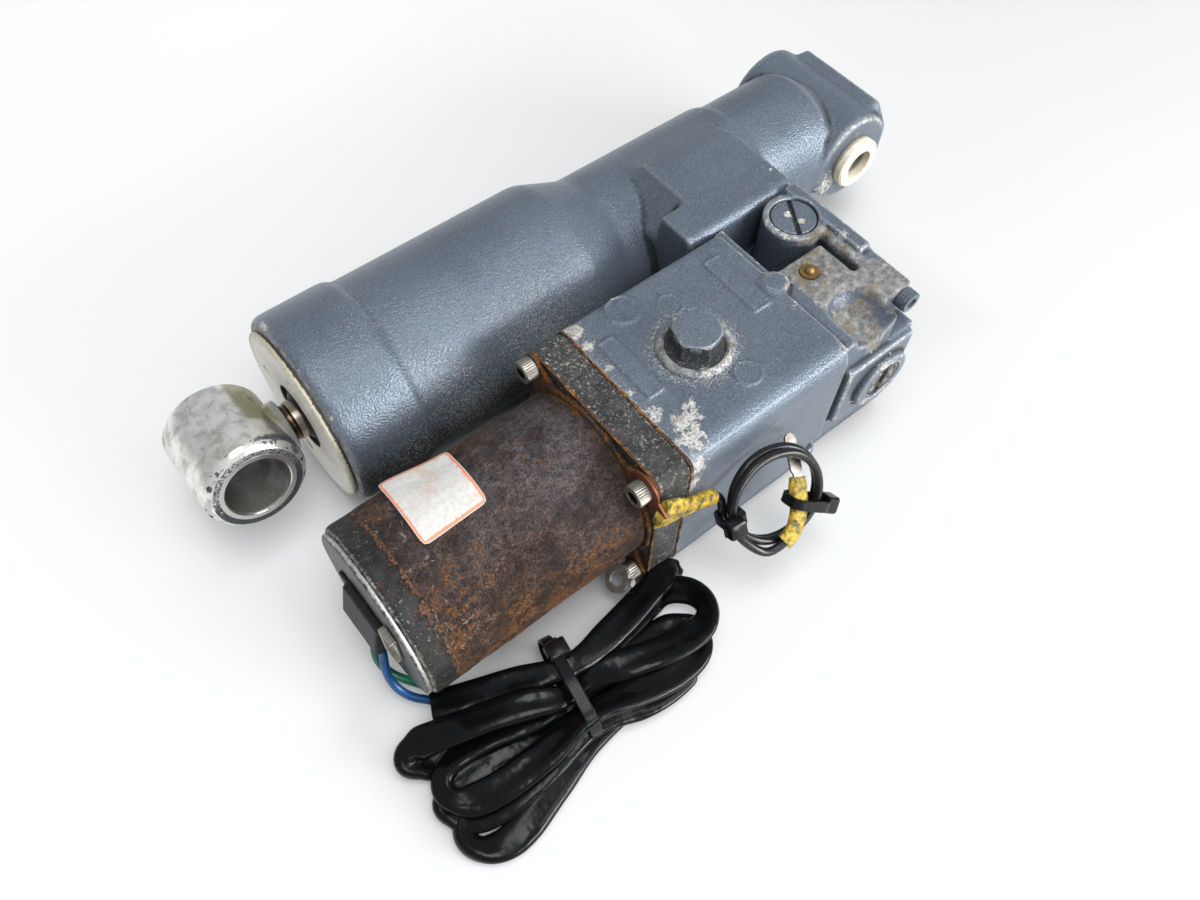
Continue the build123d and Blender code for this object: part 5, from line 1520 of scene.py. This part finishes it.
# ---------------------------------------------------------------- folded sleeve of the harness
HANK = [(-24.0, -128.6, -33.0), (-15.9, -132.3, -32.0), (-4.5, -137.7, -30.5), (8.2, -143.0, -28.5), (20.7, -148.6, -26.8), (27.8, -151.1, -26.2),
        (38.8, -151.7, -27.0), (53.8, -149.2, -29.0), (68.7, -146.0, -31.0), (82.3, -142.7, -33.0), (91.5, -140.5, -35.5),
        (93.8, -141.7, -39.5), (83.4, -144.6, -40.5), (63.9, -148.3, -40.3), (45.5, -151.2, -38.0), (30.8, -154.7, -34.0),
        (23.7, -160.6, -29.0), (15.2, -158.7, -26.0), (5.4, -152.7, -26.2), (-8.1, -147.7, -26.5), (-21.8, -143.0, -28.0), (-34.1, -137.6, -31.0),
        (-41.9, -136.2, -34.5), (-44.6, -140.8, -37.5), (-37.8, -145.1, -39.8), (-26.6, -146.5, -40.3), (-10.6, -149.7, -40.2), (7.5, -155.3, -39.0), (20.2, -160.8, -36.0),
        (31.4, -159.6, -32.0), (41.1, -161.8, -28.5), (53.7, -166.3, -27.5), (67.7, -171.0, -28.0), (81.0, -171.3, -29.0), (89.7, -167.3, -30.5),
        (92.1, -158.2, -33.0), (87.6, -149.5, -36.0), (79.1, -145.1, -39.5), (63.7, -147.0, -40.0), (46.2, -151.9, -40.3), (33.1, -156.4, -40.0),
        (21.4, -159.4, -36.0), (6.5, -156.8, -33.0), (-6.2, -153.3, -33.5), (-19.0, -150.2, -34.0), (-30.3, -149.7, -35.0), (-37.6, -153.8, -36.0),
        (-39.2, -161.0, -36.0), (-33.4, -167.5, -35.0), (-22.0, -170.7, -33.5), (-6.8, -171.7, -31.5), (8.6, -171.4, -30.0), (19.3, -171.2, -28.0),
        (29.1, -172.2, -28.0), (41.4, -174.2, -30.0), (54.0, -177.6, -32.0), (68.1, -178.3, -34.0), (78.9, -174.9, -36.0), (83.8, -167.2, -39.0),
        (78.2, -160.8, -40.3), (64.7, -159.1, -40.3), (47.6, -160.5, -40.3), (31.8, -162.4, -40.3), (11.9, -164.2, -40.0), (-6.5, -162.2, -39.5),
        (-24.6, -158.8, -39.5), (-37.4, -157.6, -40.0), (-42.3, -161.6, -40.2), (-38.4, -169.5, -40.0), (-28.6, -174.9, -39.0), (-12.3, -175.9, -37.0),
        (6.4, -174.2, -36.0), (20.5, -173.3, -34.0), (31.5, -175.4, -35.0), (45.7, -179.5, -37.0), (61.0, -180.2, -39.0), (73.6, -177.4, -40.3),
        (71.0, -170.4, -41.0), (58.0, -168.0, -41.4), (40.0, -168.0, -41.4), (22.0, -170.0, -41.4), (2.0, -170.5, -41.2), (-16.0, -169.5, -41.2),
        (-33.0, -168.0, -41.0), (-41.5, -173.0, -41.0), (-41.0, -181.5, -40.8), (-33.0, -187.0, -40.6), (-22.0, -187.2, -40.4), (-10.0, -183.5, -40.0),
        (4.0, -179.5, -39.8), (18.0, -176.8, -39.6), (32.0, -175.0, -40.6), (46.0, -172.0, -41.2), (56.0, -169.0, -41.4)]


def open_mouths(verts, faces, k, n, depth, scale):
    """hollow ends: an inner wall that runs back into the tube, closed inside"""
    v = verts.reshape(n, k, 3)
    c = v.mean(1)
    out, faces, base = [verts], list(faces), len(verts)
    for idx in (list(range(depth)), list(range(n - 1, n - 1 - depth, -1))):
        rows = [idx[0] * k]
        for i in idx:
            out.append(c[i] + (v[i] - c[i]) * scale)
            rows.append(base)
            base += k
        for a, b in zip(rows[:-1], rows[1:]):
            for j in range(k):
                jj = (j + 1) % k
                faces.append((a + j, b + j, b + jj, a + jj))
        faces.append(tuple(rows[-1] + j for j in range(k)))
    return np.vstack(out), faces


def build_hank():
    guide = nurbs("hank_guide", HANK, res=10)
    raw = path_of(guide)
    bpy.data.objects.remove(guide)
    path, t, total = resample(raw, 1.1)
    n = len(path)
    tan = np.gradient(path, axis=0)
    tan /= np.linalg.norm(tan, axis=1)[:, None]
    curv = np.linalg.norm(np.gradient(tan, axis=0), axis=1) / 1.1
    ker = np.hanning(15)
    ker /= ker.sum()
    curv = np.convolve(np.pad(curv, 7, mode="edge"), ker, "valid")
    # distance of each sample from the tie, for the squeeze
    tie = np.abs((path[:, 0] - 25.0) + (path[:, 1] + 158) * -0.2)
    near = 1 - sstep(tie, 3, 22)
    base = np.stack([t, np.zeros(n), np.zeros(n)], 1)
    roll = 0.55 * fbm(base + 5, 0.014, 2, seed=3) + 0.25 * fbm(base, 0.05, 2, seed=9)
    flat = 0.5 + 0.5 * fbm(base + 9, 0.02, 2, seed=5)
    k = 28
    ang = np.arange(k) * 2 * pi / k

    def ring(i):
        fold = float(sstep(np.array(curv[i]), 0.035, 0.12))
        w = 6.5 - 1.9 * fold - 1.5 * near[i]
        h = (2.3 + 0.6 * flat[i]) * (1 - 0.12 * near[i]) + 1.1 * fold
        dent = 0.42 + 0.40 * vn[i] - 0.1 * fold
        out = []
        for j, a in enumerate(ang):
            ca, sa = cos(a), sin(a)
            # flattened hose: lobed sides, dished middle
            px = w * math.copysign(abs(ca) ** 0.85, ca)
            py = h * math.copysign(abs(sa) ** 0.9, sa) * (1 - dent * (1 - abs(ca)) ** 1.5 * (0.75 if sa > 0 else 0.35))
            px += 0.42 * wr[i, j]
            py += 0.50 * wr2[i, j]
            out.append((px, py))
        return out
    vn = fbm(base + 21, 0.035, 2, seed=15)
    q = np.stack([np.repeat(t, k) * 0.55, np.tile(5 * np.cos(ang), n), np.tile(5 * np.sin(ang), n)], 1)
    wr = fbm(q, 0.085, 2, gain=0.4, seed=33).reshape(n, k)
    wr2 = fbm(q + 50, 0.095, 2, gain=0.45, seed=37).reshape(n, k)
    up0 = np.array([0.0, 0.0, 1.0])

    def ref(i, tg):
        # flat side up on the straights, turned towards standing in the folds
        c, s = cos(roll[i]), sin(roll[i])
        side = np.cross(tg, up0)
        side /= max(np.linalg.norm(side), 1e-6)
        return up0 * c + side * s
    verts, faces = sweep(path, ring, ref, caps=False)
    verts, faces = open_mouths(verts, faces, k, n, 7, 0.80)
    verts[:, 2] = np.maximum(verts[:, 2], FLOOR + 0.15 + 0.2 * (verts[:, 2] < FLOOR))
    o = new_mesh("harness_sleeve", verts, faces, M_SLEEVE, crease=70)
    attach(o, "housing")
    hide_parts("harness_coil")
    print("hank length", round(total, 1))
    return o


hank = build_hank()


def tie_band(name, loop, width_dir, width, thick, mat):
    """closed flat band round a loop of points"""
    loop = np.array(loop, float)
    m = len(loop)
    wd = np.array(width_dir, float)
    wd /= np.linalg.norm(wd)
    tan = np.roll(loop, -1, 0) - np.roll(loop, 1, 0)
    tan /= np.linalg.norm(tan, axis=1)[:, None]
    out = np.cross(tan, wd)
    c = loop.mean(0)
    if np.mean(np.einsum("ij,ij->i", out, loop - c)) < 0:
        out = -out
    verts = []
    prof = [(-0.5, 0.0), (-0.5, 0.75), (-0.42, 1.0), (-0.2, 1.0), (0.2, 1.0), (0.42, 1.0), (0.5, 0.75), (0.5, 0.0)]
    for i in range(m):
        for a, b in prof:
            verts.append(loop[i] + wd * a * width + out[i] * b * thick)
    k = len(prof)
    faces = []
    for i in range(m):
        for j in range(k):
            jj = (j + 1) % k
            ii = (i + 1) % m
            faces.append((i * k + j, i * k + jj, ii * k + jj, ii * k + j))
    return verts, faces


def tie_head(centre, along, out, size, tail=3.0):
    """square head with bevelled edges and the cut end of the strap"""
    a = Vector(along).normalized()
    n = Vector(out).normalized()
    w = a.cross(n)
    c = Vector(centre)
    lx, ly, lz = size[0] / 2, size[1] / 2, size[2]
    bv = 0.7
    verts, faces = [], []
    rings = [((lx - 0.3, ly - 0.3), 0.0), ((lx, ly), 0.5), ((lx, ly), lz - 1.2), ((lx - 0.45, ly - 0.45), lz - 0.3), ((lx - 1.0, ly - 1.0), lz)]
    for (hx, hy), dz in rings:
        for sx, sy in ((-1, -1), (1, -1), (1, 1), (-1, 1)):
            if sx == sy:
                pts = [(sx * (hx - bv), sy * hy), (sx * hx, sy * (hy - bv))]
            else:
                pts = [(sx * (hx - bv), sy * hy), (sx * hx, sy * (hy - bv))]
            if (sx, sy) in ((-1, -1), (1, 1)):
                pts = pts[::-1]
            for px, py in pts:
                verts.append(tuple(c + a * px + w * py + n * dz))
    k = 8
    for i in range(len(rings) - 1):
        for j in range(k):
            jj = (j + 1) % k
            faces.append((i * k + j, i * k + jj, (i + 1) * k + jj, (i + 1) * k + j))
    faces.append(tuple(range(k - 1, -1, -1)))
    faces.append(tuple((len(rings) - 1) * k + j for j in range(k)))
    b = len(verts)
    # strap stub
    tw, tt = 2.1, 0.6
    cc = c + n * (lz * 0.45) + a * (lx - 0.5)
    stub = []
    for d in (0.0, tail):
        for sy, sz in ((-1, -1), (1, -1), (1, 1), (-1, 1)):
            stub.append(tuple(cc + a * d + w * sy * tw + n * sz * tt))
    verts += stub
    faces += [(b, b + 3, b + 2, b + 1), (b + 4, b + 5, b + 6, b + 7)]
    for j in range(4):
        jj = (j + 1) % 4
        faces.append((b + j, b + jj, b + 4 + jj, b + 4 + j))
    return verts, faces


def joined(name, parts, mat, crease=35, bevel=None):
    verts, faces = [], []
    for v, f in parts:
        b = len(verts)
        verts += [tuple(p) for p in v]
        faces += [tuple(i + b for i in q) for q in f]
    o = new_mesh(name, verts, faces, mat, crease=crease)
    return o


def smooth_loop(pts, per):
    """closed Catmull-Rom line through the points"""
    p = np.array(pts, float)
    m = len(p)
    out = []
    for i in range(m):
        a, b, c, d = p[i - 1], p[i], p[(i + 1) % m], p[(i + 2) % m]
        for q in range(per):
            t = q / per
            out.append(0.5 * (2 * b + (c - a) * t + (2 * a - 5 * b + 4 * c - d) * t * t + (3 * b - a - 3 * c + d) * t ** 3))
    return np.array(out)


def build_hank_tie():
    knots = [(27.5, -134, -34), (27, -137, -26), (26, -143, -22), (24.8, -149, -21.3), (23.2, -158, -20.8), (22, -166.5, -22.5), (21.3, -172.5, -25),
             (20.8, -176.8, -32), (21, -176.5, -39), (22, -172, -43.6), (23, -160, -43.8), (25, -148, -43.8), (27, -138, -42.5)]
    pts = smooth_loop(knots, 8)
    pts[:, 2] = np.maximum(pts[:, 2], -43.9)
    band = tie_band("b", pts, (0.988, -0.155, 0), 5.0, 1.0, M_TIE)
    head = tie_head((26.6, -144.0, -22.5), (0.165, 0.986, 0), (0, -0.1, 1), (7.6, 9.2, 5.6), tail=1.5)
    o = joined("hank_tie", [band, head], M_TIE, crease=30)
    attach(o, "housing")
    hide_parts("harness_tie")


build_hank_tie()

# ---------------------------------------------------------------- ground lead
SL0, SL1 = Vector((79.5, -141.4, 29.0)), Vector((106.5, -142.0, 13.0))
LU = Vector((0.23, 0.50, 0.83)).normalized()
LV = Vector((0.93, -0.28, -0.17))
LV = (LV - LU * LV.dot(LU)).normalized()
LN = LV.cross(LU)
if LN.y > 0:
    LN = -LN
LC = Vector((134.8, -153.5, -2.0)) - LV * 2 + LU * 2


def plane_point(v, u, off):
    return LC + LV * v + LU * u + LN * off


def ring_point(deg, r, off):
    return plane_point(r * cos(radians(deg)), 0.95 * r * sin(radians(deg)), off)


def build_ground():
    out = 1 / cos(radians(22.5))
    rings = [(250, 21.8, 0.0), (295, 21.8, 0.0), (340, 21.8, 0.0), (385, 21.8, 0.0), (430, 21.8, 0.0),
             (475, 21.6, 0.6), (520, 21.3, 2.1), (565, 20.8, 3.6), (610, 20.6, 3.75), (655, 20.6, 3.75), (700, 20.6, 3.75),
             (745, 20.6, 3.75), (790, 20.6, 3.8), (835, 20.7, 4.3), (880, 21.8, 5.3), (921, 22.3, 5.4)]
    sd = (SL1 - SL0).normalized()
    pts = [SL1 + sd * 0.1, SL1 + sd * 7.0, plane_point(-24.3, -6.0, -0.6)] + [ring_point(d, r * out, off) for d, r, off in rings]
    pts += [plane_point(-12.4, -20.4, 6.4), plane_point(-5.4, -22.8, 7.6), plane_point(0.9, -18.9, 8.0)]
    wire = nurbs("ground_wire", [tuple(p) for p in pts], 1.9, M_BLACK)
    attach(wire, "housing")
    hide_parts("ground_lead")
    # wrinkled sleeve on the far terminal
    last = pts[-1]
    td = (pts[-1] - pts[-2]).normalized()
    T1, T2, T3 = plane_point(9.2, -10.0, 5.6), plane_point(12.0, 4.4, 1.0), plane_point(13.5, 19.7, -6.5)
    g = nurbs("g", [tuple(last - td * 1.2), tuple(last + td * 3.5), tuple(T1), tuple(T1.lerp(T2, 0.55)), tuple(T2)])
    path, t, total = resample(path_of(g), 0.45)
    bpy.data.objects.remove(g)
    n = len(path)
    k = 26
    ang = np.arange(k) * 2 * pi / k
    q = np.stack([np.repeat(t, k), np.tile(3.4 * np.cos(ang), n), np.tile(3.4 * np.sin(ang), n)], 1)
    wr = fbm(q, 0.30, 3, gain=0.6, seed=71).reshape(n, k)

    def ring(i):
        e = 1 - 0.10 * float(sstep(np.array(t[i] / total), 0.86, 1.0))
        w, h = 4.3 * e, 2.45 * e
        return [((w + 0.42 * wr[i, j]) * cos(a), (h + 0.42 * wr[i, j]) * sin(a)) for j, a in enumerate(ang)]
    ln = np.array(LN)
    v1, f1 = sweep(path, ring, lambda i, tg: ln)
    # flat blade, rounded at its end
    bd = (T3 - T2).normalized()
    bn = (LN - bd * LN.dot(bd)).normalized()
    bs = bd.cross(bn)
    L = (T3 - T2).length + 1.5
    outline = []
    for sgn in (1, -1):
        seq = [(-3.0, 1.9), (1.5, 1.9), (3.2, 2.7), (L - 3.0, 2.7), (L - 1.4, 2.3), (L - 0.4, 1.3), (L, 0.45)]
        outline += [(a, sgn * b) for a, b in (seq if sgn > 0 else seq[::-1])]
    nb = len(outline)
    v2 = [tuple(T2 + bd * a + bs * b + bn * (0.55 + 0.05)) for a, b in outline] + [tuple(T2 + bd * a + bs * b - bn * 0.55) for a, b in outline]
    f2 = [tuple(range(nb)), tuple(2 * nb - 1 - i for i in range(nb))] + [(i, (i + 1) % nb, nb + (i + 1) % nb, nb + i) for i in range(nb)]
    o1 = joined("ground_tip_sleeve", [(v1, f1)], M_YELLOW, crease=80)
    o2 = joined("ground_tip_blade", [(v2, f2)], M_TIP, crease=30)
    for o in (o1, o2):
        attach(o, "housing")
    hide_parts("ground_tip")
    # lug: ring under the screw head and its wrinkled sleeve
    cy, cz = MY - 35.3, 35.5
    pr = [(77.75, 3.1), (77.75, 7.6), (78.0, 8.1), (78.8, 8.1), (79.05, 7.6), (79.05, 3.1)]
    v3, f3 = lathe_x(pr, 64, cy, cz)
    tongue = []
    for a, b in ((-5.4, 1.5), (-13.2, -4.2), (-8.2, -11.0), (2.5, -5.0)):
        tongue.append((a, b))
    v4, f4 = prism_extra([(78.05, cy + a, cz + b) for a, b in tongue], [(79.05, cy + a, cz + b) for a, b in tongue])
    o3 = joined("lug_ring", [(v3, f3), (v4, f4)], M_LUG, crease=35)
    g = nurbs("g", [tuple(SL0 - sd * 2.0), tuple(SL0 + sd * 4), tuple(SL0 + sd * 12 + Vector((0, -0.4, 0.5))), tuple(SL0 + sd * 22), tuple(SL1 + sd * 0.02)])
    path, t, total = resample(path_of(g), 0.45)
    bpy.data.objects.remove(g)
    n = len(path)
    q = np.stack([np.repeat(t, k), np.tile(3.4 * np.cos(ang), n), np.tile(3.4 * np.sin(ang), n)], 1)
    wr = fbm(q, 0.24, 4, gain=0.62, seed=81).reshape(n, k)

    def ring2(i):
        f = t[i] / total
        w = 6.7 - 3.1 * float(sstep(np.array(f), 0.10, 0.62))
        h = 2.3 + 0.8 * float(sstep(np.array(f), 0.2, 0.7))
        am = 0.95 - 0.45 * f
        return [((w + am * wr[i, j]) * cos(a), (h + am * wr[i, j]) * sin(a)) for j, a in enumerate(ang)]
    v5, f5 = sweep(path, ring2, lambda i, tg: np.array([0.0, -1.0, 0.15]))
    o4 = joined("lug_sleeve", [(v5, f5)], M_YELLOW, crease=80)
    for o in (o3, o4):
        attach(o, "housing")
    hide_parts("ground_lug")
    # two ties that bundle the loop
    parts = []
    for a0, s0, s1, n0, n1, h0, h1, hn0, hn1, base in (
            (187, 17.2, 26.7, -3.0, 7.9, 21.5, 29.5, 9.1, 14.6, (0, 0)),
            (-23, 0.6, 19.4, -2.5, 9.2, 20.6, 27.2, -0.8, 6.4, (5.0, -2.9))):
        rad = LV * cos(radians(a0)) + LU * sin(radians(a0))
        tg = rad.cross(LN).normalized()
        org = plane_point(base[0], base[1], 0)
        sc, nc, hs, hn = (s0 + s1) / 2, (n0 + n1) / 2, (s1 - s0) / 2 - 0.2, (n1 - n0) / 2 - 0.2
        loop = []
        for i in range(64):
            t_ = 2 * pi * i / 64
            cs, sn = cos(t_), sin(t_)
            loop.append(tuple(org + rad * (sc + hs * math.copysign(abs(cs) ** 0.55, cs)) + LN * (nc + hn * math.copysign(abs(sn) ** 0.55, sn))))
        parts.append(tie_band("b", loop, tuple(tg), 4.6, 1.05, M_TIE))
        if a0 == 187:
            c = org + rad * ((h0 + h1) / 2 - 1.0) + LN * (hn0 - 1.2)
            parts.append(tie_head(tuple(c), tuple(rad), tuple(LN), (8.2, 7.6, 5.8), tail=1.6))
        else:
            c = org + rad * (h0 - 0.8) + LN * ((hn0 + hn1) / 2)
            parts.append(tie_head(tuple(c), tuple(-LN), tuple(rad), (7.4, 7.6, 6.2), tail=2.0))
    o = joined("loop_ties", parts, M_TIE, crease=30)
    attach(o, "housing")
    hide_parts("ground_ties")


build_ground()


def build_ring():
    """flat ring terminal at the end of a lead of the harness"""
    c, nn, uu = Vector((68.7, -131.9, -31.5)), Vector((-0.68, 0.17, 0.73)).normalized(), Vector((0.29, -0.81, 0.459)).normalized()
    ww = nn.cross(uu)
    prof = [(3.3, -0.5), (3.3, 0.5), (3.55, 0.72), (6.2, 0.72), (6.55, 0.4), (6.55, -0.4), (6.2, -0.72), (3.55, -0.72)]
    m, k = 96, len(prof)
    verts = []
    for i in range(m):
        a = 2 * pi * i / m
        d = uu * cos(a) + ww * sin(a)
        for r, t in prof:
            g = 0.10 * float(vnoise(np.array([[3 * cos(a), 3 * sin(a), r]]), 0.8, 5)[0])
            verts.append(tuple(c + d * (r + g) + nn * t))
    faces = [(i * k + j, i * k + (j + 1) % k, ((i + 1) % m) * k + (j + 1) % k, ((i + 1) % m) * k + j) for i in range(m) for j in range(k)]
    # crimped barrel
    path = np.array([c + uu * (5.4 + 0.3 * i) for i in range(11)], float)
    oval = [(1.75 * cos(2 * pi * j / 20), 1.5 * sin(2 * pi * j / 20)) for j in range(20)]
    v2, f2 = sweep(path, lambda i: oval, lambda i, tg: np.array(nn))
    o = joined("harness_ring", [(verts, faces), (v2, f2)], M_RING, crease=35)
    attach(o, "housing")
    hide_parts("harness_clip")


build_ring()


# ================================================================ floor
def build_floor():
    me = bpy.data.meshes.new("floor")
    s = 3.0
    me.from_pydata([(-s, -s, 0), (s, -s, 0), (s, s, 0), (-s, s, 0)], [], [(0, 1, 2, 3)])
    o = bpy.data.objects.new("floor", me)
    o.location = (0, 0, FLOOR / 1000.0)
    m = Mat("floor_white")
    x, y, z = m.xyz()
    n = m.noise(0.004, 2)
    m.set(colour=m.mix(n, (0.495, 0.500, 0.502), (0.510, 0.515, 0.517)), rough=0.6, spec=0.2)
    # painted light: the floor glows, more strongly towards the back
    back = m.step(m.add(m.mul(x, -0.6), m.mul(y, 0.8)), -150, 420)
    # painted light: the glow is dropped beside and under the part, so its shade stays dark
    ex = m.mx(m.mx(m.sub(-292, x), m.sub(x, 5)), m.mx(m.sub(-124, y), m.sub(y, 24)))
    clear = m.step(ex, -14, 32)
    m.put(m.b.inputs["Emission Color"], (0.985, 0.995, 1.0))
    m.put(m.b.inputs["Emission Strength"], m.mul(m.add(0.07, m.mul(back, 0.26)), clear))
    me.materials.append(m.m)
    bpy.context.scene.collection.objects.link(o)


build_floor()
